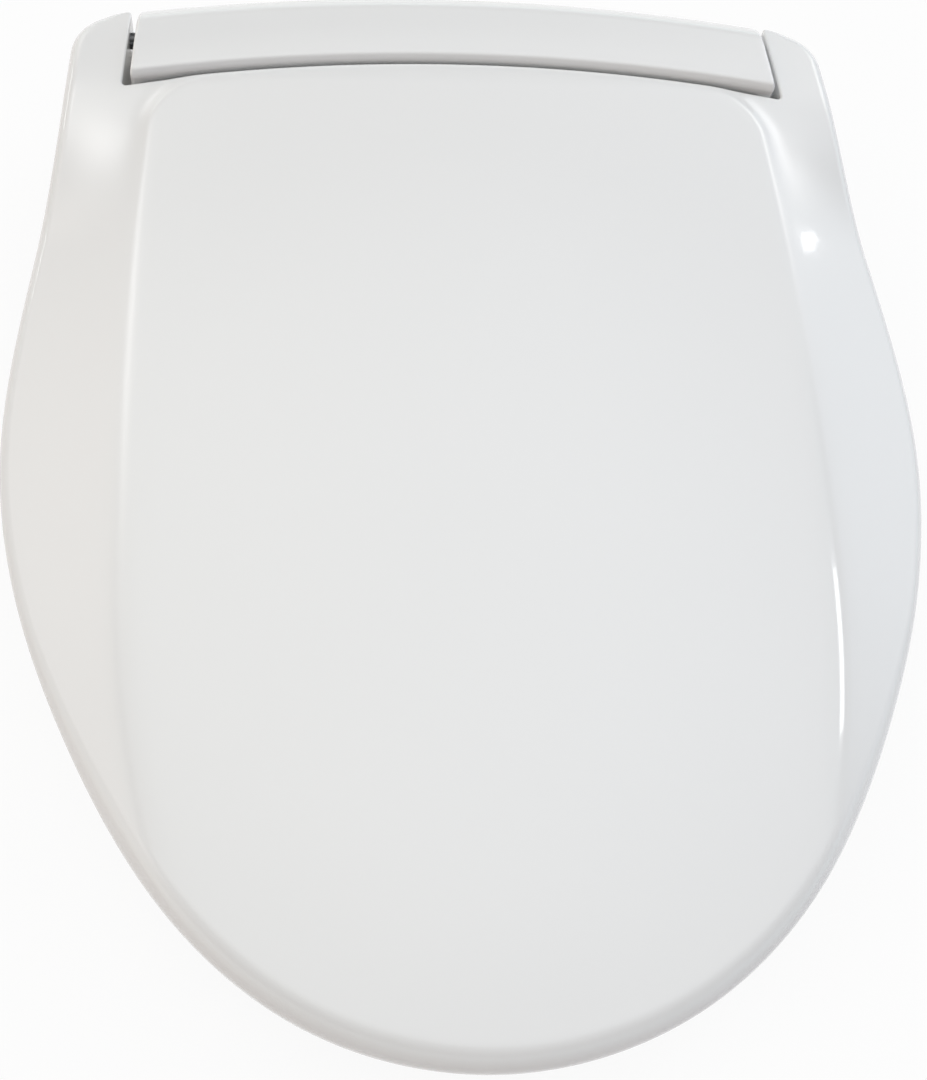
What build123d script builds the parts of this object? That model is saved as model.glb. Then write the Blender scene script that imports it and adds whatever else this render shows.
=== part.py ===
# Electric bidet seat with its lid closed, as it sits on the bowl. All sizes are in millimetres.
# The origin is midway between the two bowl bolts, on the bowl's rim. +Z is up and +Y is to the rear.

import os
from math import copysign, cos, radians, sin, sqrt, tan

from build123d import *

os.makedirs("parts", exist_ok=True)

# Plan of the lid: shares and insets of its half width, and how far behind the front tip they lie
front_tip_y = -405.0
lid_half_width = 190.0
lid_widest = 240.0
nose_shares = [(0.4, 20.0), (0.645, 60.0), (0.834, 120.0), (0.953, 180.0)]
flank_inset = 9.8
flank_run = 320.0
ear_root_inset = 22.8
ear_root_run = 405.0
ear_end_inset = 26.2
ear_end_run = 441.0
ear_corner_radius = 21.0

# Height of the lid
lid_rim_z = 44.0
lid_wall = 3.0
lid_edge_radius = 6.0
panel_front_z = 57.0
panel_rear_z = 76.0
panel_length = 415.0
panel_crown = 3.5
panel_inset = 45.0
panel_rear_inset = 63.0
panel_waist = 180.0
panel_edge_softness = 6.0
side_crown = 1.2
flank_fall = 0.35
ear_fall = 0.06
flank_start = 220.0
flank_end = 400.0
lid_stations = [-20.0, 70.0, 150.0, 230.0, 310.0, 380.0, 460.0]
lid_section_points = 13
lid_edge_steps = 14
form_margin = 20.0

# Hinge line
hinge_y = 25.0
hinge_z = 62.5
shaft_radius = 3.5
running_gap = 0.08
shaft_flat = 2.4
shaft_length = 53.5
shaft_depth = 34.5
knuckle_radius = 5.5
knuckle_width = 4.0
ear_wall = 3.5
ear_wall_front_y = -13.0
knuckle_gap = 0.8

# Rear bar on the top cover, bowed to the rear
bar_rear_y = 48.0
bar_depth = 37.3
bow_radius = 852.0
bar_top_z = 76.5
bar_front_round = 5.5
bar_rear_round = 12.0
bar_end_inset = 50.5
bar_taper = 3.5
bar_end_rear_y = 37.0
bar_end_front_y = -1.5
bar_underside_z = 67.0
lid_to_bar_gap = 1.5
slot_gap = 4.5

# Rear body
cover_inset = 5.0
body_front_y = -45.0
body_wall = 3.0
body_corner_radius = 12.0
cover_deck_z = 66.0
parting_z = 38.0
case_bottom_z = 2.0
shoulder_width = 23.5
inlet_step = 10.0
shoulder_front_y = -22.0
shoulder_corner_radius = 18.0
deck_half_width = 112.0
deck_front_y = -108.0
deck_corner_radius = 25.0
pocket_side_gap = 7.0
pocket_front_y = -25.0
pocket_ceiling_z = 14.5
raised_floor_z = 17.5
shoulder_space_y = 0.5
shoulder_space_depth = 39.0
shoulder_space_round = 3.0

# Mounting bracket and its bolts
bolt_spacing = 155.0
bolt_slot_length = 30.0
bolt_slot_radius = 4.25
bracket_thickness = 4.0
bracket_half_width = 96.0
bracket_half_depth = 22.0
bracket_rail = 4.0
bracket_rail_z = 10.0
bracket_lip = 3.5
bracket_lip_thickness = 3.0
bracket_corner_radius = 6.0
guide_lip = 6.0
guide_lip_z = 6.0

# Release latch on the right side
latch_y = 10.0
latch_notch_half = 5.5
latch_fit = 0.4
latch_tongue = 5.0
latch_stem_half = 2.0
latch_stem_z = 8.5
latch_cap_half_depth = 6.0
latch_cap_half_height = 4.5
latch_cap_z = 10.0
latch_cap_chamfer = 1.2
latch_cap_proud = 8.0
latch_spring_radius = 3.4
latch_spring_wire = 0.4
latch_spring_turns = 4
latch_spring_length = 15.0
spring_wire_sides = 4

# Push buttons on the right side
button_radius = 5.0
button_flange_radius = 6.6
button_flange = 2.0
button_proud = 2.0
button_travel = 1.5
button_chamfer = 0.7
button_z = 26.0
power_button_y = -8.0
wash_button_y = 8.0
button_fit = 0.3
switch_side = 6.0
switch_height = 3.0
board_thickness = 1.6

# Seat ring
seat_edge_gap = 4.0
seat_rear_y = -47.0
seat_rear_corner_radius = 10.0
seat_wall = 3.0
seat_floor = 2.5
seat_bottom_z = 12.0
seat_front_z = 36.0
seat_top_points = [(-230.0, 39.5), (-126.0, 46.0), (-27.0, 51.0)]
seat_rear_z = 50.0
seat_step_y = -150.0
seat_rear_bottom_z = 38.5
seat_edge_bevel = 4.0
opening_half_width = 100.0
opening_middle_y = -232.0
opening_front_reach = 118.0
opening_rear_reach = 102.0
seat_fit = 0.2
heater_edge_gap = 6.0
heater_thickness = 0.7
heater_gap = 0.1
arm_root_gap = 3.5
arm_root_width = 24.0
arm_taper_y = -18.0
arm_root_overlap = 2.0
arm_bend_y = 2.0
arm_half_height = 3.0
seat_bumper_spots = [(62.0, -366.0), (145.0, -215.0)]
seat_bumper_length = 26.0
seat_bumper_width = 12.0
seat_bumper_round = 2.0

# Lid bumpers on posts inside the lid
lid_bumper_spots = [(70.0, -368.0, 37.4), (125.0, -215.0, 41.4)]
lid_post_radius = 6.5
lid_bumper_radius = 5.0
lid_bumper_height = 4.5
lid_bumper_sink = 1.5

# Wash nozzles: two in one double cylinder that points down to the front
nozzle_tilt = 14.0
port_y = -107.0
port_z = 11.0
nozzle_spacing = 20.0
nozzle_radius = 4.75
nozzle_bore = 2.0
tip_length = 14.0
tip_chamfer = 2.0
spray_hole_radius = 0.7
spray_pitch = 2.2
spray_start = 4.0
spray_holes = {"rear": 3, "front": 5}
bush_radius = 6.4
bush_start = -2.0
bush_end = 22.0
cylinder_start = 13.0
cylinder_end = 128.0
cylinder_bore = 6.6
cylinder_radius = 8.0
cylinder_cap = 3.0
piston_start = 115.0
piston_length = 8.0
seal_width = 2.4
seal_depth = 1.6
nozzle_gap = 0.1
nozzle_spring_wire = 0.5
nozzle_spring_end = 0.75
nozzle_spring_turns = 5
barb_radius = 2.5
barb_length = 9.0
port_gap = 0.3

# Water path
inlet_y = 8.0
inlet_z = 20.0
inlet_thread_radius = 10.48
inlet_thread_length = 14.0
inlet_flange_radius = 13.5
inlet_flange = 4.0
inlet_bore = 6.5
inlet_chamfer = 1.5
inlet_tube_radius = 9.0
filter_radius = 6.0
filter_wall = 1.0
filter_length = 22.0
valve_length = 19.0
valve_radius = 12.0
coil_radius = 9.0
coil_height = 18.0
inlet_pipe_z = 26.0
heater_side_space = 50.5
heater_right_x = -28.0
heater_front_y = -36.0
heater_rear_y = 20.0
heater_bottom_z = 19.0
heater_top_z = 46.0
heater_corner_radius = 8.0
heater_rib = 2.0
heater_rib_pitch = 9.0
heater_rib_count = 5
heater_outlet_y = 0.0
heater_outlet_z = 22.5
diverter_x = 46.0
diverter_y = 32.0
diverter_radius = 9.0
diverter_bottom_z = 18.0
diverter_top_z = 36.0
diverter_motor_radius = 11.0
diverter_motor_height = 10.0
rear_outlet_z = 23.5
front_outlet_z = 33.0
pipe_radius = 4.0
pipe_sides = 12
pipe_turn = 5.0
pipe_lead = 8.5

# Electrics
control_board_side_space = 17.5
control_board_left_x = 51.0
control_board_width = 46.0
control_board_y = -12.0
control_board_z = 22.0
capacitor_radius = 6.0
capacitor_height = 18.0
relay_length = 18.0
relay_width = 14.0
relay_height = 14.0
gland_inset = 16.5
gland_z = 20.0
gland_radius = 7.0
gland_flange_radius = 9.5
gland_bore = 3.6
gland_inner_length = 9.0
gland_outer_length = 4.0
gland_chamfer = 1.0

# Hinge dampers
damper_radius = 7.0
damper_length = 44.0
damper_flange_radius = 7.6
damper_flange = 3.0

# Screws, pads
screw_inset = 12.5
screw_rows = [-34.0, -14.0]
screw_radius = 1.7
screw_head_radius = 3.4
screw_head = 2.4
screw_length = 44.0
screw_pilot = 1.75
boss_radius = 4.5
pad_spots = [(119.0, 4.0), (96.0, -90.0)]
pad_length = 22.0
pad_width = 12.0

# Values that follow from those above
nose_points = [(lid_half_width * share, run) for share, run in nose_shares]
flank_point = (lid_half_width - flank_inset, flank_run)
ear_root = (lid_half_width - ear_root_inset, ear_root_run)
ear_end = (lid_half_width - ear_end_inset, ear_end_run)
ear_rear_y = front_tip_y + ear_end_run
panel_half_width = lid_half_width - panel_inset
panel_rear_half_width = lid_half_width - panel_rear_inset
bar_half_front = lid_half_width - bar_end_inset
bar_half_rear = bar_half_front - bar_taper
body_half_width = bar_half_front - cover_inset
shoulder_half_width = body_half_width + shoulder_width
inlet_side_x = inlet_step - shoulder_half_width
pocket_half_width = bracket_half_width + pocket_side_gap
shaft_inner_x = body_half_width - shaft_depth
arm_root_inner = bar_half_front + arm_root_gap
arm_root_outer = arm_root_inner + arm_root_width
heater_left_x = heater_side_space - body_half_width
control_board_length = body_half_width - control_board_side_space - control_board_left_x
control_board_x = control_board_left_x + control_board_length / 2
gland_x = body_half_width - gland_inset
screw_spots = [(body_half_width - screw_inset, y) for y in screw_rows]
bow_centre_y = bar_rear_y - bow_radius
bow_axis = Axis((0, bow_centre_y, 0), (0, 0, 1))
bow_sweep = 12.0
bar_front_y = bar_rear_y - bar_depth
lid_rear_y = bar_front_y - lid_to_bar_gap
bar_flare = (bar_half_front - bar_half_rear) / (bar_end_rear_y - bar_end_front_y)
notch_half_rear = bar_half_rear + slot_gap
notch_half_front = bar_half_front + slot_gap
ear_wall_front_half = notch_half_front + bar_flare * (bar_end_front_y - ear_wall_front_y)
knuckle_inner_x = ear_wall_front_half + ear_wall + knuckle_gap
shaft_outer_x = shaft_inner_x + shaft_length
tilt = radians(nozzle_tilt)
nozzle_plane = Plane(origin=(0, port_y, port_z), x_dir=(1, 0, 0), z_dir=(0, cos(tilt), sin(tilt)))
seat_step = seat_rear_bottom_z - seat_bottom_z
form_low_z = -form_margin
form_high_z = bar_top_z + form_margin
sides = (-1, 1)


def bow_y(middle_y, x):
    """The y of the bowed line that crosses the middle at middle_y, at a distance x to the side."""
    radius = middle_y - bow_centre_y
    return bow_centre_y + sqrt(radius**2 - x**2)


def lid_top_z(x, y):
    """Height of the lid's outer face: a crowned panel that falls away past a soft edge on each side."""
    run = y - front_tip_y
    share = run / panel_length
    spine = panel_front_z + (panel_rear_z - panel_front_z) * share + panel_crown * 4 * share * (1 - share)
    past_waist = max(0, (run - panel_waist) / (panel_length - panel_waist))
    panel_edge = panel_half_width - (panel_half_width - panel_rear_half_width) * past_waist**2
    ramp = min(1, max(0, (run - flank_start) / (flank_end - flank_start)))
    fall = flank_fall + (ear_fall - flank_fall) * ramp**2 * (3 - 2 * ramp)
    beyond = abs(x) - panel_edge
    drop = fall * (beyond + sqrt(beyond**2 + panel_edge_softness**2)) / 2
    return spine - side_crown * (x / panel_half_width) ** 2 - drop


def lid_plan(inset):
    """Plan of the lid, or of what lies an inset inside its edge."""
    outline = [(0, 0), *nose_points, (lid_half_width, lid_widest), flank_point, ear_root]
    shares = [i / lid_edge_steps for i in range(lid_edge_steps + 1)]
    with BuildSketch() as plan:
        with BuildLine():
            outer = Spline(
                [(half, front_tip_y + run) for half, run in outline],
                tangents=[(1, 0), (ear_end[0] - ear_root[0], ear_end[1] - ear_root[1])],
                mode=Mode.PRIVATE,
            )
            edge = Spline(
                [outer @ share + (outer % share).rotate(Axis.Z, 90) * inset for share in shares],
                tangents=[outer % 0, outer % 1],
            )
            rear_y = ear_rear_y - inset
            ear_lean = (ear_end[0] - ear_root[0]) / (ear_end[1] - ear_root[1])
            ear_x = (edge @ 1).X + ear_lean * (rear_y - (edge @ 1).Y)
            Polyline(edge @ 1, (ear_x, rear_y), (0, rear_y))
            mirror(about=Plane.YZ)
        make_face()
        rear = plan.vertices().group_by(Axis.Y)[-1].sort_by(Axis.X)
        fillet([rear[0], rear[-1]], ear_corner_radius - inset)
    return plan.sketch


def lid_form(inset):
    """The lid's outer form, or with an inset the space inside its wall."""
    half = lid_half_width + form_margin
    steps = [2 * i / (lid_section_points - 1) - 1 for i in range(lid_section_points)]
    with BuildPart() as form:
        for station in lid_stations:
            y = front_tip_y + station
            with BuildSketch(Plane.XZ.offset(-y)):
                with BuildLine():
                    ridge = Spline([(half * step, lid_top_z(half * step, y) - inset) for step in steps])
                    Polyline(ridge @ 1, (half, form_low_z), (-half, form_low_z), ridge @ 0)
                make_face()
        loft()
        with BuildSketch(Plane.XY.offset(lid_rim_z - inset)):
            add(lid_plan(inset))
        extrude(amount=form_high_z, mode=Mode.INTERSECT)
    return form


def ear_wall_plan(thickness):
    """Plan of the two walls that close the ears beside the bar, from within the slots outwards."""
    with BuildSketch() as plan:
        with BuildLine():
            Polyline(
                (ear_wall_front_half - slot_gap / 2, ear_wall_front_y),
                (notch_half_rear - bar_flare * form_margin - slot_gap / 2, bar_end_rear_y + form_margin),
                (notch_half_rear - bar_flare * form_margin + thickness, bar_end_rear_y + form_margin),
                (ear_wall_front_half + thickness, ear_wall_front_y),
                close=True,
            )
        make_face()
        mirror(about=Plane.YZ)
    return plan.sketch


def hinge_hole(flat):
    """Section of the hole for a hinge shaft: round, or with the flat that makes the shaft drive it."""
    with BuildSketch() as section:
        with Locations((hinge_y, hinge_z)):
            Circle(shaft_radius + running_gap)
        if flat:
            with Locations((hinge_y, hinge_z + shaft_flat + running_gap)):
                Rectangle(2 * shaft_radius, shaft_radius, align=(Align.CENTER, Align.MIN), mode=Mode.SUBTRACT)
    return section.sketch


# The lid: one moulding, hollow below, notched for the bar and closed by a wall beside each slot
lid_inside = lid_form(lid_wall)
with BuildPart() as lid_space:
    add(lid_inside.part)
    with BuildSketch(Plane.XY.offset(form_low_z)):
        add(ear_wall_plan(ear_wall))
    extrude(amount=form_high_z - form_low_z, mode=Mode.SUBTRACT)

lid_outside = lid_form(0)
with BuildPart() as lid:
    add(lid_outside.part)
    top_edges = lid.edges().filter_by(lambda edge: edge.bounding_box().min.Z > lid_rim_z + running_gap)
    fillet(top_edges, lid_edge_radius)
    add(lid_space.part, mode=Mode.SUBTRACT)
    with BuildSketch(Plane.XY.offset(lid_rim_z)):
        with BuildLine():
            side_x = notch_half_front + bar_flare * (bar_end_front_y - bow_y(lid_rear_y, notch_half_front))
            side_y = bow_y(lid_rear_y, side_x)
            rear_edge = ThreePointArc((-side_x, side_y), (0, lid_rear_y), (side_x, side_y))
            far_x = notch_half_rear - bar_flare * form_margin
            far_y = bar_end_rear_y + form_margin
            Polyline(rear_edge @ 1, (far_x, far_y), (-far_x, far_y), rear_edge @ 0)
        make_face()
    extrude(amount=form_high_z, mode=Mode.SUBTRACT)
    for x, y, bottom_z in lid_bumper_spots:
        post_z = bottom_z + lid_bumper_height - lid_bumper_sink
        with Locations(*[(side * x, y, post_z) for side in sides]):
            Cylinder(
                lid_post_radius,
                lid_top_z(x, y) - lid_wall / 2 - post_z,
                align=(Align.CENTER, Align.CENTER, Align.MIN),
            )
        with Locations(*[(side * x, y, post_z) for side in sides]):
            Cylinder(
                lid_bumper_radius,
                lid_bumper_sink,
                align=(Align.CENTER, Align.CENTER, Align.MIN),
                mode=Mode.SUBTRACT,
            )
    with BuildSketch(Plane.YZ.offset(body_half_width)):
        add(hinge_hole(flat=True))
    extrude(amount=knuckle_inner_x - body_half_width, mode=Mode.SUBTRACT)
    with BuildSketch(Plane.YZ.offset(-body_half_width)):
        add(hinge_hole(flat=False))
    extrude(amount=body_half_width - knuckle_inner_x, mode=Mode.SUBTRACT)
    for side in sides:
        with BuildSketch(Plane.YZ.offset(side * (knuckle_inner_x - knuckle_gap / 2))):
            with Locations((hinge_y, hinge_z)):
                Circle(knuckle_radius + knuckle_gap)
        extrude(amount=side * (knuckle_width + knuckle_gap), mode=Mode.SUBTRACT)
lid.part.label = "lid"
export_step(lid.part, "parts/lid.step")

def seat_plan(inset):
    """Plan of the seat ring, or of what lies an inset inside its walls."""
    with BuildSketch() as plan:
        add(lid_plan(seat_edge_gap + inset))
        with Locations((0, seat_rear_y - inset)):
            Rectangle(2 * lid_half_width, lid_half_width, align=(Align.CENTER, Align.MIN), mode=Mode.SUBTRACT)
        rear = plan.vertices().group_by(Axis.Y)[-1]
        fillet(rear, seat_rear_corner_radius - inset)
        with BuildLine():
            middle = (0, opening_middle_y)
            half = opening_half_width + inset
            EllipticalCenterArc(middle, half, opening_front_reach + inset, start_angle=180, arc_size=180)
            EllipticalCenterArc(middle, half, opening_rear_reach + inset, start_angle=0, arc_size=180)
        make_face(mode=Mode.SUBTRACT)
    return plan.sketch


def seat_side(top_drop, bottom_drop):
    """Side section of the seat ring, with its top and its stepped underside lowered by the given drops."""
    rear_y = seat_rear_y + form_margin
    front_y = front_tip_y - form_margin
    bottom_z = seat_bottom_z - bottom_drop
    rear_bottom_z = seat_rear_bottom_z - bottom_drop
    with BuildSketch() as section:
        with BuildLine():
            top = Spline([(y, z - top_drop) for y, z in [(front_y, seat_front_z), *seat_top_points]])
            Polyline(
                top @ 1,
                (rear_y, rear_bottom_z),
                (seat_step_y + seat_step, rear_bottom_z),
                (seat_step_y, bottom_z),
                (front_y, bottom_z),
                top @ 0,
            )
        make_face()
    return section.sketch


# The seat's upper shell: the ring's top and walls, open below, with an arm to each hinge knuckle
with BuildPart() as seat_space:
    with BuildSketch():
        add(seat_plan(seat_wall))
    extrude(amount=form_high_z)
    with BuildSketch(Plane.YZ):
        add(seat_side(seat_wall, seat_wall))
    extrude(amount=lid_half_width, both=True, mode=Mode.INTERSECT)

with BuildPart() as seat_arms:
    with BuildSketch(Plane.YZ):
        with BuildLine():
            Polyline(
                (seat_rear_y - arm_root_overlap, seat_rear_bottom_z),
                (seat_rear_y - arm_root_overlap, seat_rear_z - arm_root_overlap),
                (arm_bend_y, hinge_z + knuckle_radius),
                (hinge_y, hinge_z + knuckle_radius),
                (hinge_y, hinge_z - arm_half_height),
                (arm_bend_y, hinge_z - arm_half_height),
                (seat_rear_y + arm_root_overlap, seat_rear_bottom_z),
                close=True,
            )
        make_face()
        with Locations((hinge_y, hinge_z)):
            Circle(knuckle_radius)
    extrude(amount=lid_half_width, both=True)
    with BuildSketch(Plane.XY.offset(form_low_z)):
        with BuildLine():
            Polyline(
                (arm_root_inner, seat_rear_y - arm_root_overlap),
                (knuckle_inner_x, arm_taper_y),
                (knuckle_inner_x, hinge_y + form_margin),
                (knuckle_inner_x + knuckle_width, hinge_y + form_margin),
                (knuckle_inner_x + knuckle_width, arm_taper_y),
                (arm_root_outer, seat_rear_y - arm_root_overlap),
                close=True,
            )
        make_face()
        mirror(about=Plane.YZ)
    extrude(amount=form_high_z - form_low_z, mode=Mode.INTERSECT)

with BuildPart() as seat_upper_shell:
    with BuildSketch():
        add(seat_plan(0))
    extrude(amount=form_high_z)
    with BuildSketch(Plane.YZ):
        add(seat_side(0, 0))
    extrude(amount=lid_half_width, both=True, mode=Mode.INTERSECT)
    seat_top = seat_upper_shell.faces().filter_by(lambda face: face.normal_at().Z > sin(tilt))
    chamfer(seat_top[0].edges(), seat_edge_bevel)
    add(seat_space.part, mode=Mode.SUBTRACT)
    add(seat_arms.part)
    with BuildSketch(Plane.YZ.offset(-knuckle_inner_x)):
        add(hinge_hole(flat=True))
    extrude(amount=-knuckle_width, mode=Mode.SUBTRACT)
    with BuildSketch(Plane.YZ.offset(knuckle_inner_x)):
        add(hinge_hole(flat=False))
    extrude(amount=knuckle_width, mode=Mode.SUBTRACT)
seat_upper_shell.part.label = "seat_upper_shell"
export_step(seat_upper_shell.part, "parts/seat_upper_shell.step")

# The seat's lower shell: a stepped floor that sits inside the upper shell's walls
with BuildPart() as seat_lower_shell:
    with BuildSketch():
        add(seat_plan(seat_wall + seat_fit))
    extrude(amount=form_high_z)
    with BuildSketch(Plane.YZ):
        add(seat_side(0, 0))
        add(seat_side(0, -seat_floor), mode=Mode.SUBTRACT)
    extrude(amount=lid_half_width, both=True, mode=Mode.INTERSECT)
seat_lower_shell.part.label = "seat_lower_shell"
export_step(seat_lower_shell.part, "parts/seat_lower_shell.step")

# The heating foil under the seat's top
with BuildPart() as seat_heater:
    with BuildSketch():
        add(seat_plan(seat_wall + heater_edge_gap))
    extrude(amount=form_high_z)
    with BuildSketch(Plane.YZ):
        add(seat_side(seat_wall + heater_gap, 0))
        add(seat_side(seat_wall + heater_gap + heater_thickness, 0), mode=Mode.SUBTRACT)
    extrude(amount=lid_half_width, both=True, mode=Mode.INTERSECT)
seat_heater.part.label = "seat_heater"
export_step(seat_heater.part, "parts/seat_heater.step")

# Four rubber bumpers that carry the seat on the bowl's rim
with BuildPart() as seat_bumpers:
    with BuildSketch():
        with Locations(*[(side * x, y) for x, y in seat_bumper_spots for side in sides]):
            RectangleRounded(seat_bumper_width, seat_bumper_length, seat_bumper_width / 3)
    extrude(amount=seat_bottom_z)
    chamfer(seat_bumpers.edges().group_by(Axis.Z)[0], seat_bumper_round)
seat_bumpers.part.label = "seat_bumpers"
export_step(seat_bumpers.part, "parts/seat_bumpers.step")


def hinge_shaft(side, flat_x, flat_length):
    """A hinge shaft on one side, with a flat where it drives the lid or the seat."""
    with BuildPart() as shaft:
        with BuildSketch(Plane.YZ.offset(side * shaft_inner_x)):
            with Locations((hinge_y, hinge_z)):
                Circle(shaft_radius)
        extrude(amount=side * shaft_length)
        with BuildSketch(Plane.YZ.offset(side * flat_x)):
            with Locations((hinge_y, hinge_z + shaft_flat)):
                Rectangle(2 * shaft_radius, shaft_radius, align=(Align.CENTER, Align.MIN))
        extrude(amount=side * flat_length, mode=Mode.SUBTRACT)
    return shaft


# The left damper's shaft turns with the seat, and the right one's with the lid
seat_hinge_shaft = hinge_shaft(-1, knuckle_inner_x - knuckle_gap / 2, knuckle_width + knuckle_gap)
seat_hinge_shaft.part.label = "seat_hinge_shaft"
export_step(seat_hinge_shaft.part, "parts/seat_hinge_shaft.step")

lid_hinge_shaft = hinge_shaft(1, notch_half_rear - slot_gap / 2, ear_wall + slot_gap)
lid_hinge_shaft.part.label = "lid_hinge_shaft"
export_step(lid_hinge_shaft.part, "parts/lid_hinge_shaft.step")


def hinge_damper(side):
    """A soft-close damper: a plain cylinder whose flange seats on the cover's side wall."""
    wall_x = body_half_width - body_wall
    with BuildPart() as damper:
        with BuildSketch(Plane.YZ.offset(side * wall_x)):
            with Locations((hinge_y, hinge_z)):
                Circle(damper_flange_radius)
        extrude(amount=-side * damper_flange)
        with BuildSketch(Plane.YZ.offset(side * wall_x)):
            with Locations((hinge_y, hinge_z)):
                Circle(damper_radius)
        extrude(amount=-side * damper_length)
        with BuildSketch(Plane.YZ.offset(side * wall_x)):
            with Locations((hinge_y, hinge_z)):
                Circle(shaft_radius + running_gap)
        extrude(amount=-side * (wall_x - shaft_inner_x + running_gap), mode=Mode.SUBTRACT)
    return damper


for side, name in zip(sides, ("left", "right")):
    damper = hinge_damper(side)
    damper.part.label = f"hinge_damper_{name}"
    export_step(damper.part, f"parts/hinge_damper_{name}.step")

# Four rubber bumpers on the ends of the lid's posts
with BuildPart() as lid_bumpers:
    for x, y, bottom_z in lid_bumper_spots:
        with Locations(*[(side * x, y, bottom_z) for side in sides]):
            Cylinder(lid_bumper_radius, lid_bumper_height, align=(Align.CENTER, Align.CENTER, Align.MIN))
lid_bumpers.part.label = "lid_bumpers"
export_step(lid_bumpers.part, "parts/lid_bumpers.step")


def deck_top(y):
    """Height of the sloped deck that covers the front of the nozzle cylinders."""
    return port_z + (y - port_y) * tan(tilt) + (cylinder_radius + port_gap + body_wall) / cos(tilt)


def tray_plan():
    """Plan of the space inside the lower case's walls."""
    inner_half = body_half_width - body_wall
    rear_y = bow_y(bar_rear_y - body_wall, inner_half)
    with BuildSketch() as plan:
        with BuildLine():
            rear = ThreePointArc((-inner_half, rear_y), (0, bar_rear_y - body_wall), (inner_half, rear_y))
            front_y = body_front_y + body_wall
            Polyline(rear @ 1, (inner_half, front_y), (-inner_half, front_y), rear @ 0)
        make_face()
    return plan.sketch


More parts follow.
